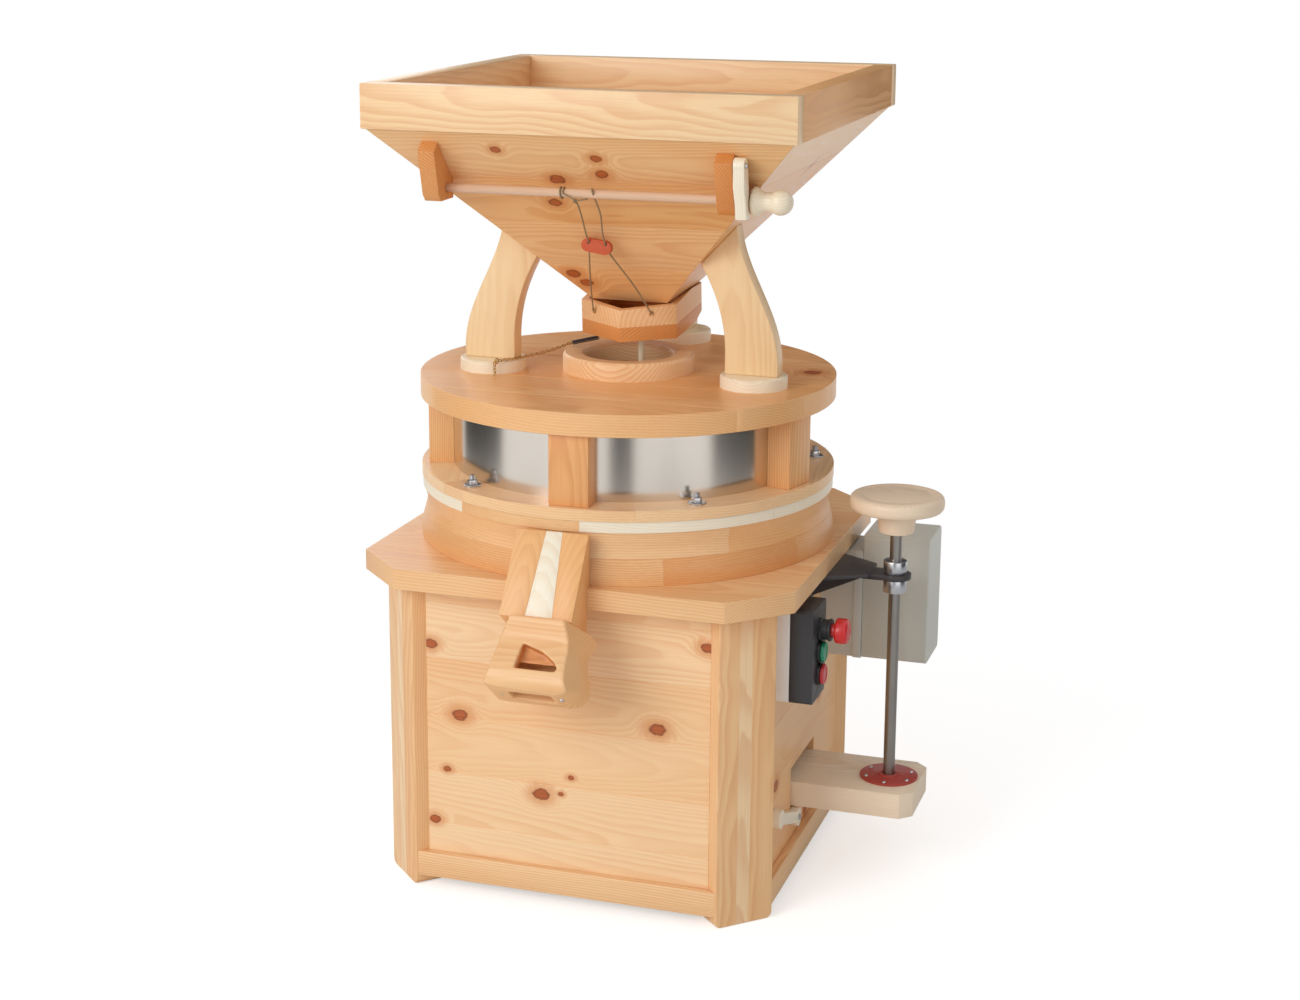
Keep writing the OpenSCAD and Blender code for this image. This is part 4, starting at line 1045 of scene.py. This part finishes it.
shaped("turn_button", "catch_shaped", cream_wood, 1.8, 3, ((0, 1, 0.35), X_AXIS, (0.0, 0.1)))

paint(bracket_paint, "pivot_block")
paint(cast_iron, "neck_bearing", "rynd")
paint(turned_alloy, "driven_pulley", "motor_pulley")
paint(plated_steel, "footstep_cup")
paint(motor_paint, "motor_housing")
paint(rubber_belt, "drive_belt")
paint(millstone, "bed_stone", "runner_stone")
paint(brass_chain, "pull_chain")
paint(spring_wire, "pull_spring")


# ---- Twine, chain and spring ----

def smooth_route(points, count):
    """Points spread evenly along a smooth curve through the given places."""
    places = [Vector(point) for point in points]
    padded = [2 * places[0] - places[1]] + places + [2 * places[-1] - places[-2]]
    dense = []
    for a, b, c, d in zip(padded, padded[1:], padded[2:], padded[3:]):
        for step in range(24):
            t = step / 24
            dense.append(0.5 * (2 * b + (c - a) * t + (2 * a - 5 * b + 4 * c - d) * t * t
                                + (3 * b - a - 3 * c + d) * t ** 3))
    dense.append(places[-1])
    gone = [0.0]
    for first, second in zip(dense, dense[1:]):
        gone.append(gone[-1] + (second - first).length)
    route, spot = [], 0
    for number in range(count):
        wanted = gone[-1] * number / (count - 1)
        while spot < len(gone) - 2 and gone[spot + 1] < wanted:
            spot += 1
        share = (wanted - gone[spot]) / (gone[spot + 1] - gone[spot])
        route.append(dense[spot].lerp(dense[spot + 1], min(1.0, share)))
    return route


def length_of(route):
    return sum((b - a).length for a, b in zip(route, route[1:])) * MM


def rolled_tube(name, route, radius, sides=10):
    """A flat grid rolled up round a route; its "route" UVs run round it and along it in metres."""
    only()
    bpy.ops.mesh.primitive_grid_add(x_subdivisions=sides, y_subdivisions=len(route) - 1, size=1)
    piece = fresh(name)
    mesh = piece.data
    ahead = [(b - a).normalized() for a, b in zip([route[0]] + route[:-1], route[1:] + [route[-1]])]
    side = ahead[0].orthogonal().normalized()
    sides_of = []
    for direction in ahead:
        side = (side - direction * side.dot(direction)).normalized()
        sides_of.append(side.copy())
    for vertex in mesh.vertices:
        angle = 2 * math.pi * (vertex.co.x + 0.5)
        row = round((vertex.co.y + 0.5) * (len(route) - 1))
        over = ahead[row].cross(sides_of[row])
        vertex.co = (route[row] + sides_of[row] * radius * math.cos(angle)
                     + over * radius * math.sin(angle)) * MM
    mesh.uv_layers.active.name = "route"
    for spot in mesh.uv_layers["route"].uv:
        spot.vector.y *= length_of(route)
    mend(piece)
    with editing(piece):
        bpy.ops.mesh.fill_holes(sides=sides)
        bpy.ops.mesh.select_all(action="SELECT")
        bpy.ops.mesh.normals_make_consistent(inside=False)
    return piece


TWINE_R, ROD_WRAP = 1.1, 7.2
ROUTE_LEFT = [(-10, -172, 924), (-14, -140, 893), (-15, -122, 874), (-20, -108, 856),
              (-32, -68, 812), (-41, -31, 769)]
ROUTE_RIGHT = [(17, -172, 924), (9.5, -140, 893), (8.5, -122, 872), (13, -108, 856),
               (30, -70, 814), (44, -34, 770)]
KNOT_AT = (-5, -206, 943.5)


def round_rod(x_start, x_end, start, end):
    """Points that wind round the feed rod, by angles from the back over the top."""
    steps = max(3, round(abs(end - start) / 36))
    points = []
    for step in range(steps + 1):
        share = step / steps
        angle = math.radians(start + (end - start) * share)
        points.append((x_start + (x_end - x_start) * share, ROD_Y + ROD_WRAP * math.cos(angle),
                       ROD_Z + ROD_WRAP * math.sin(angle)))
    return points


def hang(piece, node):
    """Puts a piece's place into its mesh, on no body, and hides the CAD node that it replaces."""
    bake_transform(piece)
    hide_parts(node)


tab = blank_of("twine_tab", "twine_tab_shaped")
soften(tab, 0.9, 3)
smooth(tab)
tab.data.materials.append(tab_leather)
hang(tab, "twine_tab")

left = round_rod(-27, -20, 0, 540) + [KNOT_AT] + ROUTE_LEFT
right = [KNOT_AT] + round_rod(8, 20, -90, 170) + ROUTE_RIGHT
for name, points in (("twine_left_strand", left), ("twine_right_strand", right)):
    route = smooth_route(points, 40)
    strand = rolled_tube(name, smooth_route(points, 160), TWINE_R)
    smooth(strand, 60)
    strand.data.materials.append(brown_twine)
    hang(strand, "feed_twine")


def wire_ring(name, middle, first, second, reach, radius, steps=16):
    """A closed ring of wire; "first" and "second" are the directions of its two half widths."""
    route = [Vector(middle) + Vector(first) * reach[0] * math.cos(2 * math.pi * k / steps)
             + Vector(second) * reach[1] * math.sin(2 * math.pi * k / steps)
             for k in range(steps + 1)]
    return rolled_tube(name, route, radius, 7)


loops = [wire_ring("knot_turn", KNOT_AT, (1, 0, 0.2), (0, 0.3, 1), (2.2, 1.8), 1.05),
         wire_ring("knot_turn", KNOT_AT, (0.3, 1, 0), (0, 0.2, 1), (1.9, 2.1), 1.05)]
fit(joined("twine_knot", loops), brown_twine, "cabinet", angle=60)

nails = []
for spot, outward in ((Vector(ROUTE_LEFT[-1]), Vector((-0.505, -0.863, 0))),
                      (Vector(ROUTE_RIGHT[-1]), Vector((0.505, -0.863, 0)))):
    across = outward.cross(Z_AXIS)
    nails.append(wire_ring("eye", spot - outward * 1.0, across, outward * 0.3 + Z_AXIS,
                           (2.6, 3.4), 0.6))
fit(joined("twine_eyes", nails), brass_chain, "shoe", angle=60)

CHAIN_ROUTE = [(-156, -100, 704), (-138, -70, 703.5), (-112, -26, 706), (-93, 4, 711.5),
               (-88, 12, 713)]
LINK_PITCH, TAIL_LINKS = 4.6, 4
LINK_WIRE = ((3.1, 1.9), 0.55, 12)
count = round(length_of(smooth_route(CHAIN_ROUTE, 60)) / MM / LINK_PITCH)
spots = smooth_route(CHAIN_ROUTE, count)
links = []
for number, spot in enumerate(spots):
    ahead = (spots[min(number + 1, count - 1)] - spots[max(number - 1, 0)]).normalized()
    flat = ahead.cross(Z_AXIS).normalized()
    turn = math.radians(40 if number % 2 else -50)
    across = flat * math.cos(turn) + ahead.cross(flat) * math.sin(turn)
    links.append(wire_ring("link", spot, ahead, across, *LINK_WIRE))
dress(joined("chain_links", links), brass_chain, "pull_chain", angle=60)
hook = [wire_ring("eye", (-157, -100, 703.6), (0.5, 0.86, 0), (0, 0, 1), (3.2, 3.6), 0.8),
        add_turned("shank", [(0, -5), (1.1, -5), (1.1, 0), (0, 0)], at=(-158, -101, 704), steps=12)]
tail = []
for number in range(TAIL_LINKS):
    turn = math.radians(70 if number % 2 else -10)
    across = (math.cos(turn), math.sin(turn), 0)
    tail.append(wire_ring("tail_link", (-158.5, -103.2, 700 - number * LINK_PITCH), Z_AXIS, across,
                          *LINK_WIRE))
fit(joined("chain_eye", hook + tail), brass_chain, "cabinet", angle=60)

SPRING_START, SPRING_END = Vector((-87, 13, 713)), Vector((-50, 18, 722))
SPRING_R, WIRE_R, COILS, TURN_STEPS = 2.7, 0.5, 26, 12
span = SPRING_END - SPRING_START
side = span.orthogonal().normalized()
over = span.normalized().cross(side)
coil = []
for step in range(COILS * TURN_STEPS + 1):
    angle = 2 * math.pi * step / TURN_STEPS
    coil.append(SPRING_START + span * step / (COILS * TURN_STEPS)
                + (side * math.cos(angle) + over * math.sin(angle)) * SPRING_R)
spring = rolled_tube("spring_coil", coil, WIRE_R, 7)
smooth(spring, 60)
spring.data.materials.append(spring_wire)
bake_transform(spring)
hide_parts("pull_spring")
